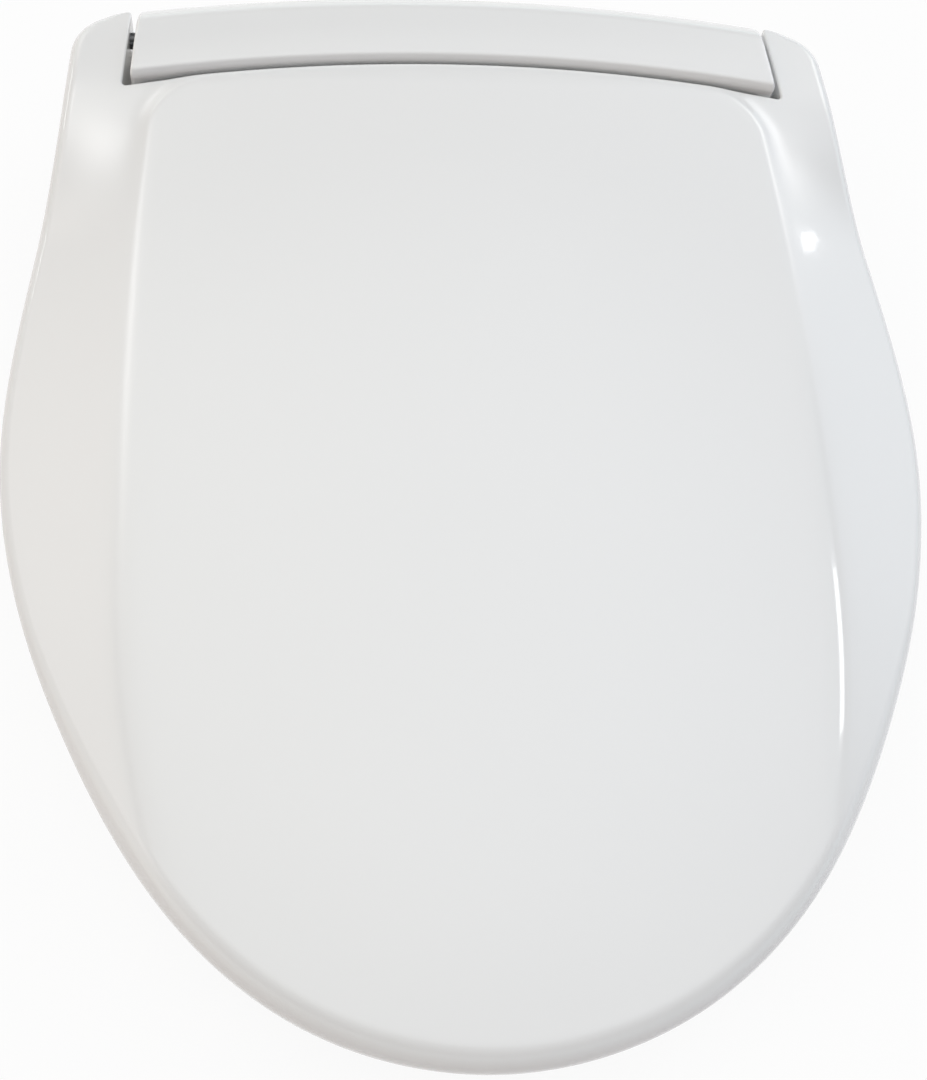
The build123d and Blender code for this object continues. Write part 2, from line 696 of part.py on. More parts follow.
# The lower case: a tray with low shoulders under the ears, a sloped deck, and a pocket for the bracket
with BuildPart() as lower_case:
    with BuildSketch(Plane.XY.offset(case_bottom_z)) as case_plan:
        with BuildLine():
            rear = ThreePointArc(
                (inlet_side_x, bow_y(bar_rear_y, inlet_side_x)),
                (0, bar_rear_y),
                (shoulder_half_width, bow_y(bar_rear_y, shoulder_half_width)),
            )
            Polyline(
                rear @ 1,
                (shoulder_half_width, shoulder_front_y),
                (body_half_width, shoulder_front_y),
                (body_half_width, body_front_y),
                (-body_half_width, body_front_y),
                (-body_half_width, shoulder_front_y),
                (inlet_side_x, shoulder_front_y),
                rear @ 0,
            )
        make_face()
        shoulders = case_plan.vertices().group_by(Axis.X)
        fillet(shoulders[0], shoulder_corner_radius - inlet_step)
        fillet(shoulders[-1], shoulder_corner_radius)
    extrude(amount=parting_z - case_bottom_z)
    with BuildSketch(Plane.YZ) as deck_side:
        with BuildLine():
            Polyline(
                (deck_front_y, case_bottom_z),
                (deck_front_y, deck_top(deck_front_y)),
                (body_front_y, min(deck_top(body_front_y), parting_z)),
                (body_front_y + body_wall, case_bottom_z),
                close=True,
            )
        make_face()
    extrude(amount=deck_half_width, both=True)
    deck_front = lower_case.faces().sort_by(Axis.Y)[0]
    fillet(deck_front.edges().filter_by(Axis.Z), deck_corner_radius)
    with BuildSketch(Plane.XY.offset(raised_floor_z)):
        add(tray_plan())
    extrude(amount=form_high_z, mode=Mode.SUBTRACT)
    with BuildSketch(Plane.XY.offset(case_bottom_z + body_wall)):
        add(tray_plan())
        with Locations((0, pocket_front_y - body_wall)):
            Rectangle(
                2 * (pocket_half_width + body_wall),
                form_high_z,
                align=(Align.CENTER, Align.MIN),
                mode=Mode.SUBTRACT,
            )
    extrude(amount=raised_floor_z - case_bottom_z - body_wall, mode=Mode.SUBTRACT)
    with BuildSketch(Plane.YZ):
        with BuildLine():
            Polyline(
                (deck_front_y + body_wall, case_bottom_z + body_wall),
                (deck_front_y + body_wall, deck_top(deck_front_y + body_wall) - body_wall / cos(tilt)),
                (body_front_y + body_wall, deck_top(body_front_y + body_wall) - body_wall / cos(tilt)),
                (body_front_y + body_wall, case_bottom_z + body_wall),
                close=True,
            )
        make_face()
    extrude(amount=deck_half_width - deck_corner_radius, both=True, mode=Mode.SUBTRACT)
    with BuildSketch(Plane.XY.offset(case_bottom_z)):
        with Locations((0, pocket_front_y)):
            Rectangle(2 * pocket_half_width, form_high_z, align=(Align.CENTER, Align.MIN))
    extrude(amount=pocket_ceiling_z - case_bottom_z, mode=Mode.SUBTRACT)
    with BuildSketch(Plane.XY.offset(case_bottom_z)):
        with Locations(*[(side * (pocket_half_width - guide_lip / 2), 0) for side in sides]):
            Rectangle(guide_lip, 2 * bracket_half_depth)
    extrude(amount=guide_lip_z - case_bottom_z)
    with BuildSketch(Plane.XY.offset(case_bottom_z)):
        for far_x in (inlet_side_x, shoulder_half_width):
            near_x = copysign(body_half_width, far_x)
            with Locations(((near_x + far_x) / 2, shoulder_space_y)):
                space_width = abs(far_x - near_x) - 2 * body_wall
                RectangleRounded(space_width, shoulder_space_depth, shoulder_space_round)
    extrude(amount=parting_z - case_bottom_z - body_wall, mode=Mode.SUBTRACT)
    for x, y in screw_spots:
        with Locations(*[(side * x, y, case_bottom_z) for side in sides]):
            Cylinder(boss_radius, parting_z - case_bottom_z, align=(Align.CENTER, Align.CENTER, Align.MIN))
            Cylinder(
                screw_pilot,
                parting_z - case_bottom_z,
                align=(Align.CENTER, Align.CENTER, Align.MIN),
                mode=Mode.SUBTRACT,
            )
            Cylinder(
                screw_head_radius + latch_fit,
                screw_head + latch_fit,
                align=(Align.CENTER, Align.CENTER, Align.MIN),
                mode=Mode.SUBTRACT,
            )
    with BuildSketch(nozzle_plane.offset(bush_start - form_margin)):
        with Locations(*[(side * nozzle_spacing / 2, 0) for side in sides]):
            Circle(bush_radius + port_gap)
    extrude(amount=form_margin + cylinder_start, mode=Mode.SUBTRACT)
    with BuildSketch(Plane.YZ.offset(inlet_side_x)):
        with Locations((inlet_y, inlet_z)):
            Circle(inlet_tube_radius)
    extrude(amount=body_wall - body_half_width - inlet_side_x, mode=Mode.SUBTRACT)
    with BuildSketch(Plane.YZ.offset(shoulder_half_width)):
        with Locations((power_button_y, button_z), (wash_button_y, button_z)):
            Circle(button_radius + button_fit)
        with Locations((latch_y, latch_cap_z)):
            Rectangle(2 * (latch_cap_half_depth + latch_fit), 2 * (latch_cap_half_height + latch_fit))
    extrude(amount=-body_wall, mode=Mode.SUBTRACT)
    with BuildSketch(Plane.YZ.offset(shoulder_half_width - body_wall)):
        with Locations((latch_y, latch_stem_z)):
            Rectangle(2 * (latch_stem_half + latch_fit), 2 * (latch_stem_half + latch_fit))
    extrude(amount=pocket_half_width - shoulder_half_width, mode=Mode.SUBTRACT)
    with BuildSketch(Plane.XZ.offset(-bar_rear_y)):
        with Locations((gland_x, gland_z)):
            Circle(gland_radius)
    extrude(amount=form_margin, mode=Mode.SUBTRACT)
lower_case.part.label = "lower_case"
export_step(lower_case.part, "parts/lower_case.step")


def cover_section(wall):
    """Upright section of the bar and the body's rear wall, or of the space inside them."""
    with BuildSketch() as section:
        with BuildLine():
            Polyline(
                (bar_front_y + wall, parting_z - wall),
                (bar_front_y + wall, bar_top_z - wall),
                (bar_rear_y - wall, bar_top_z - wall),
                (bar_rear_y - wall, parting_z - wall),
                close=True,
            )
        make_face()
        top = section.vertices().group_by(Axis.Y)[-1].sort_by(Axis.X)
        fillet(top[0], bar_front_round - wall)
        fillet(top[1], bar_rear_round - wall)
    return section.sketch


def cover_form(wall):
    """The top cover's outer form, or with a wall the space inside it."""
    with BuildPart() as form:
        with BuildSketch(Plane.XY.offset(parting_z - wall)):
            with Locations((0, body_front_y + wall)):
                Rectangle(
                    2 * (body_half_width - wall),
                    bar_front_y + form_margin - body_front_y,
                    align=(Align.CENTER, Align.MIN),
                )
        extrude(amount=cover_deck_z - parting_z)
        front = form.faces().sort_by(Axis.Y)[0]
        fillet(front.edges().filter_by(Axis.Z), body_corner_radius - wall)
        with BuildSketch(Plane.YZ):
            add(cover_section(wall))
        revolve(axis=bow_axis, revolution_arc=bow_sweep)
        with BuildSketch(Plane.YZ):
            add(cover_section(wall))
        revolve(axis=bow_axis, revolution_arc=-bow_sweep)
    return form


# The top cover: the body's upper half, with the bowed bar that shows between the lid's ears
cover_space = cover_form(body_wall)
cover_outside = cover_form(0)
with BuildPart() as cover_hollow:
    add(cover_space.part)
    with BuildSketch(Plane.XY.offset(form_low_z)):
        Rectangle(2 * (body_half_width - body_wall), 2 * form_high_z)
    extrude(amount=2 * form_high_z, mode=Mode.INTERSECT)

with BuildPart() as top_cover:
    add(cover_outside.part)
    with BuildSketch(Plane.XY.offset(parting_z)):
        with BuildLine():
            near_x = bar_half_front + bar_flare * form_margin
            far_x = bar_half_rear - bar_flare * form_margin
            Polyline(
                (near_x, bar_end_front_y - form_margin),
                (far_x, bar_end_rear_y + form_margin),
                (-far_x, bar_end_rear_y + form_margin),
                (-near_x, bar_end_front_y - form_margin),
                (-body_half_width, bar_end_front_y - form_margin),
                (-body_half_width, body_front_y - form_margin),
                (body_half_width, body_front_y - form_margin),
                (body_half_width, bar_end_front_y - form_margin),
                close=True,
            )
        make_face()
    extrude(amount=form_high_z, mode=Mode.INTERSECT)
    with BuildSketch(Plane.XY.offset(parting_z)):
        with Locations(*[(side * (body_half_width + form_margin / 2), 0) for side in sides]):
            Rectangle(form_margin, 2 * form_high_z)
    extrude(amount=bar_underside_z - parting_z, mode=Mode.SUBTRACT)
    add(cover_hollow.part, mode=Mode.SUBTRACT)
    with BuildSketch(Plane.YZ):
        with Locations((hinge_y, hinge_z)):
            Circle(shaft_radius + button_fit)
    extrude(amount=body_half_width, both=True, mode=Mode.SUBTRACT)
    for x, y in screw_spots:
        with Locations(*[(side * x, y, parting_z) for side in sides]):
            Cylinder(
                boss_radius,
                cover_deck_z - parting_z - body_wall / 2,
                align=(Align.CENTER, Align.CENTER, Align.MIN),
            )
            Cylinder(
                screw_pilot,
                screw_length,
                align=(Align.CENTER, Align.CENTER, Align.CENTER),
                mode=Mode.SUBTRACT,
            )
top_cover.part.label = "top_cover"
export_step(top_cover.part, "parts/top_cover.step")

# The bracket that stays bolted to the bowl: the body slides on to it from the front
with BuildPart() as mounting_bracket:
    with BuildSketch():
        RectangleRounded(2 * bracket_half_width, 2 * bracket_half_depth, bracket_corner_radius)
        with Locations(*[(side * bolt_spacing / 2, 0) for side in sides]):
            SlotOverall(bolt_slot_length, 2 * bolt_slot_radius, mode=Mode.SUBTRACT)
    extrude(amount=bracket_thickness)
    with BuildSketch(Plane.XZ.offset(-bracket_half_depth + bracket_corner_radius)):
        with BuildLine():
            Polyline(
                (bracket_half_width - bracket_rail, bracket_thickness - bracket_rail / 2),
                (bracket_half_width - bracket_rail, bracket_rail_z),
                (bracket_half_width + bracket_lip, bracket_rail_z),
                (bracket_half_width + bracket_lip, bracket_rail_z - bracket_lip_thickness),
                (bracket_half_width, bracket_rail_z - bracket_lip_thickness),
                (bracket_half_width, bracket_thickness - bracket_rail / 2),
                close=True,
            )
        make_face()
        mirror(about=Plane.YZ)
    extrude(amount=2 * (bracket_half_depth - bracket_corner_radius))
    with BuildSketch(Plane.XY.offset(bracket_thickness)):
        with Locations((bracket_half_width, latch_y)):
            Rectangle(4 * bracket_rail, 2 * latch_notch_half)
    extrude(amount=bracket_rail_z, mode=Mode.SUBTRACT)
mounting_bracket.part.label = "mounting_bracket"
export_step(mounting_bracket.part, "parts/mounting_bracket.step")

# The release latch: its tongue fills a notch in the bracket's lip until the cap is pressed
with BuildPart() as release_latch:
    with BuildSketch(Plane.YZ.offset(shoulder_half_width + latch_cap_proud)):
        with Locations((latch_y, latch_cap_z)):
            RectangleRounded(2 * latch_cap_half_depth, 2 * latch_cap_half_height, latch_cap_half_height / 2)
    extrude(amount=-latch_cap_proud - body_wall)
    chamfer(release_latch.faces().sort_by(Axis.X)[-1].edges(), latch_cap_chamfer)
    with BuildSketch(Plane.YZ.offset(shoulder_half_width - body_wall)):
        with Locations((latch_y, latch_stem_z)):
            Rectangle(2 * latch_stem_half, 2 * latch_stem_half)
    extrude(amount=bracket_half_width + bracket_lip - shoulder_half_width + body_wall)
    with BuildSketch(Plane.YZ.offset(bracket_half_width + bracket_lip)):
        with Locations((latch_y, latch_stem_z)):
            Rectangle(2 * (latch_notch_half - latch_fit), 2 * latch_stem_half)
    extrude(amount=-latch_tongue)
release_latch.part.label = "release_latch"
export_step(release_latch.part, "parts/release_latch.step")

# The coil that pushes the latch's cap back out
with BuildPart() as latch_spring:
    with BuildLine() as latch_coil:
        Helix(
            latch_spring_length / latch_spring_turns,
            latch_spring_length,
            latch_spring_radius,
            center=(body_half_width + body_wall + 2 * latch_spring_wire, latch_y, latch_stem_z),
            direction=(1, 0, 0),
        )
    with BuildSketch(Plane(origin=latch_coil.line @ 0, z_dir=latch_coil.line % 0)):
        RegularPolygon(latch_spring_wire, spring_wire_sides)
    sweep(is_frenet=True)
latch_spring.part.label = "latch_spring"
export_step(latch_spring.part, "parts/latch_spring.step")


def push_button(y):
    """A round push button on the right shoulder, kept in by a flange behind the wall."""
    inner_x = shoulder_half_width - body_wall - button_travel / 2 - button_flange
    with BuildPart() as button:
        with BuildSketch(Plane.YZ.offset(inner_x)):
            with Locations((y, button_z)):
                Circle(button_flange_radius)
        extrude(amount=button_flange)
        with BuildSketch(Plane.YZ.offset(inner_x)):
            with Locations((y, button_z)):
                Circle(button_radius)
        extrude(amount=shoulder_half_width + button_proud - inner_x)
        chamfer(button.faces().sort_by(Axis.X)[-1].edges(), button_chamfer)
    return button


power_button = push_button(power_button_y)
power_button.part.label = "power_button"
export_step(power_button.part, "parts/power_button.step")

wash_button = push_button(wash_button_y)
wash_button.part.label = "wash_button"
export_step(wash_button.part, "parts/wash_button.step")

# The small board behind the buttons, with a switch for each
with BuildPart() as button_board:
    board_x = shoulder_half_width - 2 * body_wall - button_flange - 2 * button_travel - switch_height
    board_y = (power_button_y + wash_button_y) / 2
    with BuildSketch(Plane.YZ.offset(board_x)):
        with Locations((board_y, button_z)):
            Rectangle(wash_button_y - power_button_y + 2 * switch_side, 2 * switch_side)
    extrude(amount=-board_thickness)
    with BuildSketch(Plane.YZ.offset(board_x)):
        with Locations((power_button_y, button_z), (wash_button_y, button_z)):
            Rectangle(switch_side, switch_side)
    extrude(amount=switch_height)
button_board.part.label = "button_board"
export_step(button_board.part, "parts/button_board.step")

# The double cylinder that the wash nozzles slide in, with a barb at the rear of each bore
with BuildPart() as nozzle_cylinders:
    with BuildSketch(nozzle_plane.offset(cylinder_start)):
        with Locations(*[(side * nozzle_spacing / 2, 0) for side in sides]):
            Circle(cylinder_radius)
        Rectangle(nozzle_spacing, cylinder_radius)
    extrude(amount=cylinder_end - cylinder_start + cylinder_cap)
    with BuildSketch(nozzle_plane.offset(cylinder_end + cylinder_cap)):
        with Locations(*[(side * nozzle_spacing / 2, 0) for side in sides]):
            Circle(barb_radius)
    extrude(amount=barb_length)
    with BuildSketch(nozzle_plane.offset(cylinder_start)):
        with Locations(*[(side * nozzle_spacing / 2, 0) for side in sides]):
            Circle(cylinder_bore)
    extrude(amount=cylinder_end - cylinder_start, mode=Mode.SUBTRACT)
    with BuildSketch(nozzle_plane.offset(cylinder_end)):
        with Locations(*[(side * nozzle_spacing / 2, 0) for side in sides]):
            Circle(barb_radius / 2)
    extrude(amount=cylinder_cap + barb_length, mode=Mode.SUBTRACT)
nozzle_cylinders.part.label = "nozzle_cylinders"
export_step(nozzle_cylinders.part, "parts/nozzle_cylinders.step")

# The two guide bushes that close the cylinders' front ends
with BuildPart() as nozzle_bushes:
    with BuildSketch(nozzle_plane.offset(bush_start)):
        with Locations(*[(side * nozzle_spacing / 2, 0) for side in sides]):
            Circle(bush_radius)
            Circle(nozzle_radius + nozzle_gap, mode=Mode.SUBTRACT)
    extrude(amount=bush_end - bush_start)
nozzle_bushes.part.label = "nozzle_bushes"
export_step(nozzle_bushes.part, "parts/nozzle_bushes.step")


def nozzle_tube(x):
    """A nozzle's tube with the piston that water pressure drives forward."""
    with BuildPart() as tube:
        with BuildSketch(nozzle_plane.offset(tip_length)):
            with Locations((x, 0)):
                Circle(nozzle_radius)
        extrude(amount=piston_start - tip_length)
        with BuildSketch(nozzle_plane.offset(piston_start)):
            with Locations((x, 0)):
                Circle(cylinder_bore - 2 * nozzle_gap)
        extrude(amount=piston_length)
        with BuildSketch(nozzle_plane.offset(piston_start + piston_length / 2 - seal_width / 2)):
            with Locations((x, 0)):
                Circle(cylinder_bore)
                Circle(cylinder_bore - seal_depth, mode=Mode.SUBTRACT)
        extrude(amount=seal_width, mode=Mode.SUBTRACT)
        with BuildSketch(nozzle_plane.offset(tip_length)):
            with Locations((x, 0)):
                Circle(nozzle_bore)
        extrude(amount=piston_start + piston_length - tip_length, mode=Mode.SUBTRACT)
    return tube


def nozzle_tip(x, holes):
    """A removable tip with a row of spray holes on its upper side."""
    with BuildPart() as tip:
        with BuildSketch(nozzle_plane):
            with Locations((x, 0)):
                Circle(nozzle_radius)
        extrude(amount=tip_length)
        chamfer(tip.faces().sort_by(Axis.Y)[0].edges(), tip_chamfer)
        for i in range(holes):
            along = spray_start + i * spray_pitch
            spray_plane = Plane(
                origin=nozzle_plane.from_local_coords((x, 0, along)),
                x_dir=(1, 0, 0),
                z_dir=(0, -sin(tilt), cos(tilt)),
            )
            with BuildSketch(spray_plane):
                Circle(spray_hole_radius)
            extrude(amount=2 * nozzle_radius, mode=Mode.SUBTRACT)
    return tip


def piston_seal(x):
    """The rubber ring in a piston's groove."""
    with BuildPart() as seal:
        with BuildSketch(nozzle_plane.offset(piston_start + piston_length / 2 - seal_width / 2)):
            with Locations((x, 0)):
                Circle(cylinder_bore - nozzle_gap)
                Circle(cylinder_bore - seal_depth, mode=Mode.SUBTRACT)
        extrude(amount=seal_width)
    return seal


def return_spring(x):
    """The coil between a piston and its guide bush, that draws the nozzle back in."""
    length = piston_start - bush_end - 2 * nozzle_spring_end
    with BuildPart() as spring:
        with BuildLine() as coil:
            Helix(
                length / nozzle_spring_turns,
                length,
                (nozzle_radius + cylinder_bore) / 2,
                center=nozzle_plane.from_local_coords((x, 0, bush_end + nozzle_spring_end)),
                direction=nozzle_plane.z_dir,
            )
        with BuildSketch(Plane(origin=coil.line @ 0, z_dir=coil.line % 0)):
            RegularPolygon(nozzle_spring_wire, spring_wire_sides)
        sweep(is_frenet=True)
    return spring


for side, (name, holes) in zip(sides, spray_holes.items()):
    nozzle_x = side * nozzle_spacing / 2
    for piece, label in (
        (nozzle_tube(nozzle_x), f"{name}_wash_nozzle"),
        (nozzle_tip(nozzle_x, holes), f"{name}_spray_tip"),
        (piston_seal(nozzle_x), f"{name}_piston_seal"),
        (return_spring(nozzle_x), f"{name}_return_spring"),
    ):
        piece.part.label = label
        export_step(piece.part, f"parts/{label}.step")

# The water inlet: a half-inch pipe thread's outer form on the left, with a tube to the valve
with BuildPart() as water_inlet:
    with BuildSketch(Plane.YZ.offset(inlet_side_x)):
        with Locations((inlet_y, inlet_z)):
            Circle(inlet_flange_radius)
    extrude(amount=-inlet_flange)
    with BuildSketch(Plane.YZ.offset(inlet_side_x - inlet_flange)):
        with Locations((inlet_y, inlet_z)):
            Circle(inlet_thread_radius)
    extrude(amount=-inlet_thread_length)
    chamfer(water_inlet.faces().sort_by(Axis.X)[0].edges(), inlet_chamfer)
    with BuildSketch(Plane.YZ.offset(inlet_side_x)):
        with Locations((inlet_y, inlet_z)):
            Circle(inlet_tube_radius - port_gap)
    extrude(amount=body_wall - body_half_width - inlet_side_x)
    with BuildSketch(Plane.YZ.offset(inlet_side_x - inlet_flange - inlet_thread_length)):
        with Locations((inlet_y, inlet_z)):
            Circle(inlet_bore)
    extrude(amount=inlet_flange + inlet_thread_length + shoulder_width + form_margin, mode=Mode.SUBTRACT)
water_inlet.part.label = "water_inlet"
export_step(water_inlet.part, "parts/water_inlet.step")

# The strainer cup inside the inlet, set against the valve
filter_end_x = body_wall - body_half_width
with BuildPart() as inlet_filter:
    with BuildSketch(Plane.YZ.offset(filter_end_x - filter_length)):
        with Locations((inlet_y, inlet_z)):
            Circle(filter_radius)
    extrude(amount=filter_length)
    with BuildSketch(Plane.YZ.offset(filter_end_x - filter_length)):
        with Locations((inlet_y, inlet_z)):
            Circle(filter_radius - filter_wall)
    extrude(amount=filter_length - filter_wall, mode=Mode.SUBTRACT)
inlet_filter.part.label = "inlet_filter"
export_step(inlet_filter.part, "parts/inlet_filter.step")

# Ends of the barbs that the pipes join
valve_x = body_wall - body_half_width
valve_end_x = valve_x + valve_length + barb_length
heater_start_x = heater_left_x - barb_length
heater_end_x = heater_right_x + barb_length
diverter_left_x = diverter_x - diverter_radius - barb_length
diverter_front_y = diverter_y - diverter_radius - barb_length
pipe_y = port_y + (cylinder_end + cylinder_cap + barb_length + pipe_lead) * cos(tilt)

# The solenoid valve: a body in line with the inlet, its coil on top and an outlet barb to the heater
with BuildPart() as inlet_valve:
    with BuildSketch(Plane.YZ.offset(valve_x)):
        with Locations((inlet_y, inlet_z)):
            Circle(valve_radius)
    extrude(amount=valve_length)
    with Locations((valve_x + valve_length / 2, inlet_y, inlet_z)):
        Cylinder(coil_radius, valve_radius + coil_height, align=(Align.CENTER, Align.CENTER, Align.MIN))
    with BuildSketch(Plane.YZ.offset(valve_x + valve_length)):
        with Locations((inlet_y, inlet_pipe_z)):
            Circle(barb_radius)
    extrude(amount=barb_length)
inlet_valve.part.label = "inlet_valve"
export_step(inlet_valve.part, "parts/inlet_valve.step")

# The water heater: a flat ribbed tank with a barb on each side
with BuildPart() as water_heater:
    heater_x = (heater_left_x + heater_right_x) / 2
    heater_y = (heater_front_y + heater_rear_y) / 2
    heater_length = heater_right_x - heater_left_x
    with BuildSketch(Plane.XY.offset(heater_bottom_z)):
        with Locations((heater_x, heater_y)):
            RectangleRounded(heater_length, heater_rear_y - heater_front_y, heater_corner_radius)
    extrude(amount=heater_top_z - heater_bottom_z)
    with BuildSketch(Plane.XY.offset(heater_top_z)):
        with Locations((heater_x, heater_y)):
            with GridLocations(heater_rib_pitch, 0, heater_rib_count, 1):
                Rectangle(heater_rib, heater_rear_y - heater_front_y - 2 * heater_corner_radius)
    extrude(amount=heater_rib)
    with BuildSketch(Plane.YZ.offset(heater_left_x)):
        with Locations((inlet_y, inlet_pipe_z)):
            Circle(barb_radius)
    extrude(amount=-barb_length)
    with BuildSketch(Plane.YZ.offset(heater_right_x)):
        with Locations((heater_outlet_y, heater_outlet_z)):
            Circle(barb_radius)
    extrude(amount=barb_length)
water_heater.part.label = "water_heater"
export_step(water_heater.part, "parts/water_heater.step")

# The diverter valve that sends water to one nozzle or the other, with its motor on top
with BuildPart() as diverter_valve:
    with Locations((diverter_x, diverter_y, diverter_bottom_z)):
        Cylinder(
            diverter_radius, diverter_top_z - diverter_bottom_z, align=(Align.CENTER, Align.CENTER, Align.MIN)
        )
    with Locations((diverter_x, diverter_y, diverter_top_z)):
        Cylinder(diverter_motor_radius, diverter_motor_height, align=(Align.CENTER, Align.CENTER, Align.MIN))
    with BuildSketch(Plane.YZ.offset(diverter_x)):
        with Locations((pipe_y, rear_outlet_z), (pipe_y, front_outlet_z)):
            Circle(barb_radius)
    extrude(amount=-diverter_radius - barb_length)
    with BuildSketch(Plane.XZ.offset(-diverter_y)):
        with Locations((diverter_x, heater_outlet_z)):
            Circle(barb_radius)
    extrude(amount=diverter_radius + barb_length)
diverter_valve.part.label = "diverter_valve"
export_step(diverter_valve.part, "parts/diverter_valve.step")


def pipe_point(x, lead):
    """A point on a cylinder's axis, at a lead behind its barb's end."""
    return nozzle_plane.from_local_coords((x, 0, cylinder_end + cylinder_cap + barb_length + lead))


def pipe(points):
    """A moulded pipe between the ends of two barbs, along straight runs with rounded turns."""
    with BuildPart() as tube:
        with BuildLine() as route:
            if len(points) == len(sides):
                Line(*points)
            else:
                FilletPolyline(*points, radius=pipe_turn)
        with BuildSketch(Plane(origin=route.line @ 0, z_dir=route.line % 0)):
            RegularPolygon(pipe_radius, pipe_sides)
        sweep()
    return tube


def wash_pipe(x, outlet_z):
    """The pipe from one cylinder's rear barb, back and down, to the diverter."""
    low_end = (x, pipe_y, outlet_z)
    return pipe([pipe_point(x, 0), pipe_point(x, pipe_lead), low_end, (diverter_left_x, pipe_y, outlet_z)])


pipes = {
    "inlet_pipe": pipe([(valve_end_x, inlet_y, inlet_pipe_z), (heater_start_x, inlet_y, inlet_pipe_z)]),
    "heater_pipe": pipe(
        [
            (heater_end_x, heater_outlet_y, heater_outlet_z),
            (diverter_x, heater_outlet_y, heater_outlet_z),
            (diverter_x, diverter_front_y, heater_outlet_z),
        ]
    ),
    "rear_wash_pipe": wash_pipe(-nozzle_spacing / 2, rear_outlet_z),
    "front_wash_pipe": wash_pipe(nozzle_spacing / 2, front_outlet_z),
}
for name, tube in pipes.items():
    tube.part.label = name
    export_step(tube.part, f"parts/{name}.step")

# The control board, with its relay and capacitors
with BuildPart() as control_board:
    with BuildSketch(Plane.XY.offset(control_board_z)):
        with Locations((control_board_x, control_board_y)):
            Rectangle(control_board_length, control_board_width)
    extrude(amount=board_thickness)
    with BuildSketch(Plane.XY.offset(control_board_z + board_thickness)):
        with Locations((control_board_x - control_board_length / 4, control_board_y)):
            Rectangle(relay_length, relay_width)
    extrude(amount=relay_height)
    board_top_z = control_board_z + board_thickness
    with Locations((control_board_x + control_board_length / 4, control_board_y, board_top_z)):
        with GridLocations(0, control_board_width / 2, 1, 2):
            Cylinder(capacitor_radius, capacitor_height, align=(Align.CENTER, Align.CENTER, Align.MIN))
control_board.part.label = "control_board"
export_step(control_board.part, "parts/control_board.step")

# The cord's gland in the rear wall
gland_y = bow_y(bar_rear_y, gland_x - gland_flange_radius)
with BuildPart() as cord_gland:
    with BuildSketch(Plane.XZ.offset(-gland_y - port_gap)):
        with Locations((gland_x, gland_z)):
            Circle(gland_flange_radius)
            Circle(gland_bore, mode=Mode.SUBTRACT)
    extrude(amount=-gland_outer_length)
    chamfer(cord_gland.faces().sort_by(Axis.Y)[-1].edges(), gland_chamfer)
    with BuildSketch(Plane.XZ.offset(-gland_y - port_gap)):
        with Locations((gland_x, gland_z)):
            Circle(gland_radius - port_gap)
            Circle(gland_bore, mode=Mode.SUBTRACT)
    extrude(amount=gland_inner_length)
cord_gland.part.label = "cord_gland"
export_step(cord_gland.part, "parts/cord_gland.step")

# The four screws that hold the two halves of the body together, from below
with BuildPart() as case_screws:
    for x, y in screw_spots:
        with Locations(*[(side * x, y, case_bottom_z) for side in sides]):
            Cylinder(screw_head_radius, screw_head, align=(Align.CENTER, Align.CENTER, Align.MIN))
            Cylinder(screw_radius, screw_length, align=(Align.CENTER, Align.CENTER, Align.MIN))
case_screws.part.label = "case_screws"
export_step(case_screws.part, "parts/case_screws.step")

# The rubber pads that the lower case stands on
with BuildPart() as base_pads:
    with BuildSketch():
        with Locations(*[(side * x, y) for x, y in pad_spots for side in sides]):
            RectangleRounded(pad_width, pad_length, pad_width / 4)
    extrude(amount=case_bottom_z)
base_pads.part.label = "base_pads"
export_step(base_pads.part, "parts/base_pads.step")
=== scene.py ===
import bmesh
import bpy
import numpy as np
from mathutils import Matrix


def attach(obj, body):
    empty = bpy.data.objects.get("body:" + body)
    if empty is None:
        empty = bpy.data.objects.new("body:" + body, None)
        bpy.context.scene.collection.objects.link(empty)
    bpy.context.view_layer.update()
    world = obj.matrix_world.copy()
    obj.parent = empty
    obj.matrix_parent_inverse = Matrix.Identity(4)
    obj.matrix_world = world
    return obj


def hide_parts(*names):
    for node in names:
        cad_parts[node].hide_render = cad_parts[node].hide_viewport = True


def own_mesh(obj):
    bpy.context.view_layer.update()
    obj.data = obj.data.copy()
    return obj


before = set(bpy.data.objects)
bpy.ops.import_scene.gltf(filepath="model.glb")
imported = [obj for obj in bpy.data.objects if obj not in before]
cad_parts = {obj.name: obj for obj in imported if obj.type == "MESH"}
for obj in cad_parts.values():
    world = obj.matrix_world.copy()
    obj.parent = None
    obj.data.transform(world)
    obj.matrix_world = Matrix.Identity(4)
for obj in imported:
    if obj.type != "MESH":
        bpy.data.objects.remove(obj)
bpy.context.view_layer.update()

# The lid is one injection-moulded sheet of gloss white ABS, some 3 mm thick, open below. A gently crowned
# panel runs from the nose to the rear, with flanks that fall away beside it, and two ears that reach
# back on either side of the body's bar and carry the hinge.
tip_y = -405.0
rim_z = 44.0
rim_round = 0.9
lid_wall = 3.0
lid_half_x = 189.9
nose_z = 57.0
rear_rise = 19.0
long_crown = 14.0
cross_crown = 1.2
panel_length = 415.0
panel_half_x = 141.3
panel_corner = 20.0
panel_setback = 3.5
waist_run = 180.0
nose_run = 110.0
rear_draw = 12.8
nose_draw = 15.5
bow_centre_y = -804.0
notch_radius = 813.2
flank_slope = 0.35
slope_lost = 0.33
cove_depth = 2.8
cove_width = 13.0
roll_rate = 0.0016
roll_start = 398.0
ear_end_y = 36.0


def ease(value, low, high):
    """Smooth share of the way from low to high: the cubic 3s^2 - 2s^3 of the clamped linear share s."""
    share = np.clip((value - low) / (high - low), 0, 1)
    return share**2 * (3 - 2 * share)


def bowed(radius, x):
    """Y at a place across, on the circle of this radius about the centre that all bowed edges share."""
    return bow_centre_y + np.sqrt(radius**2 - x**2)


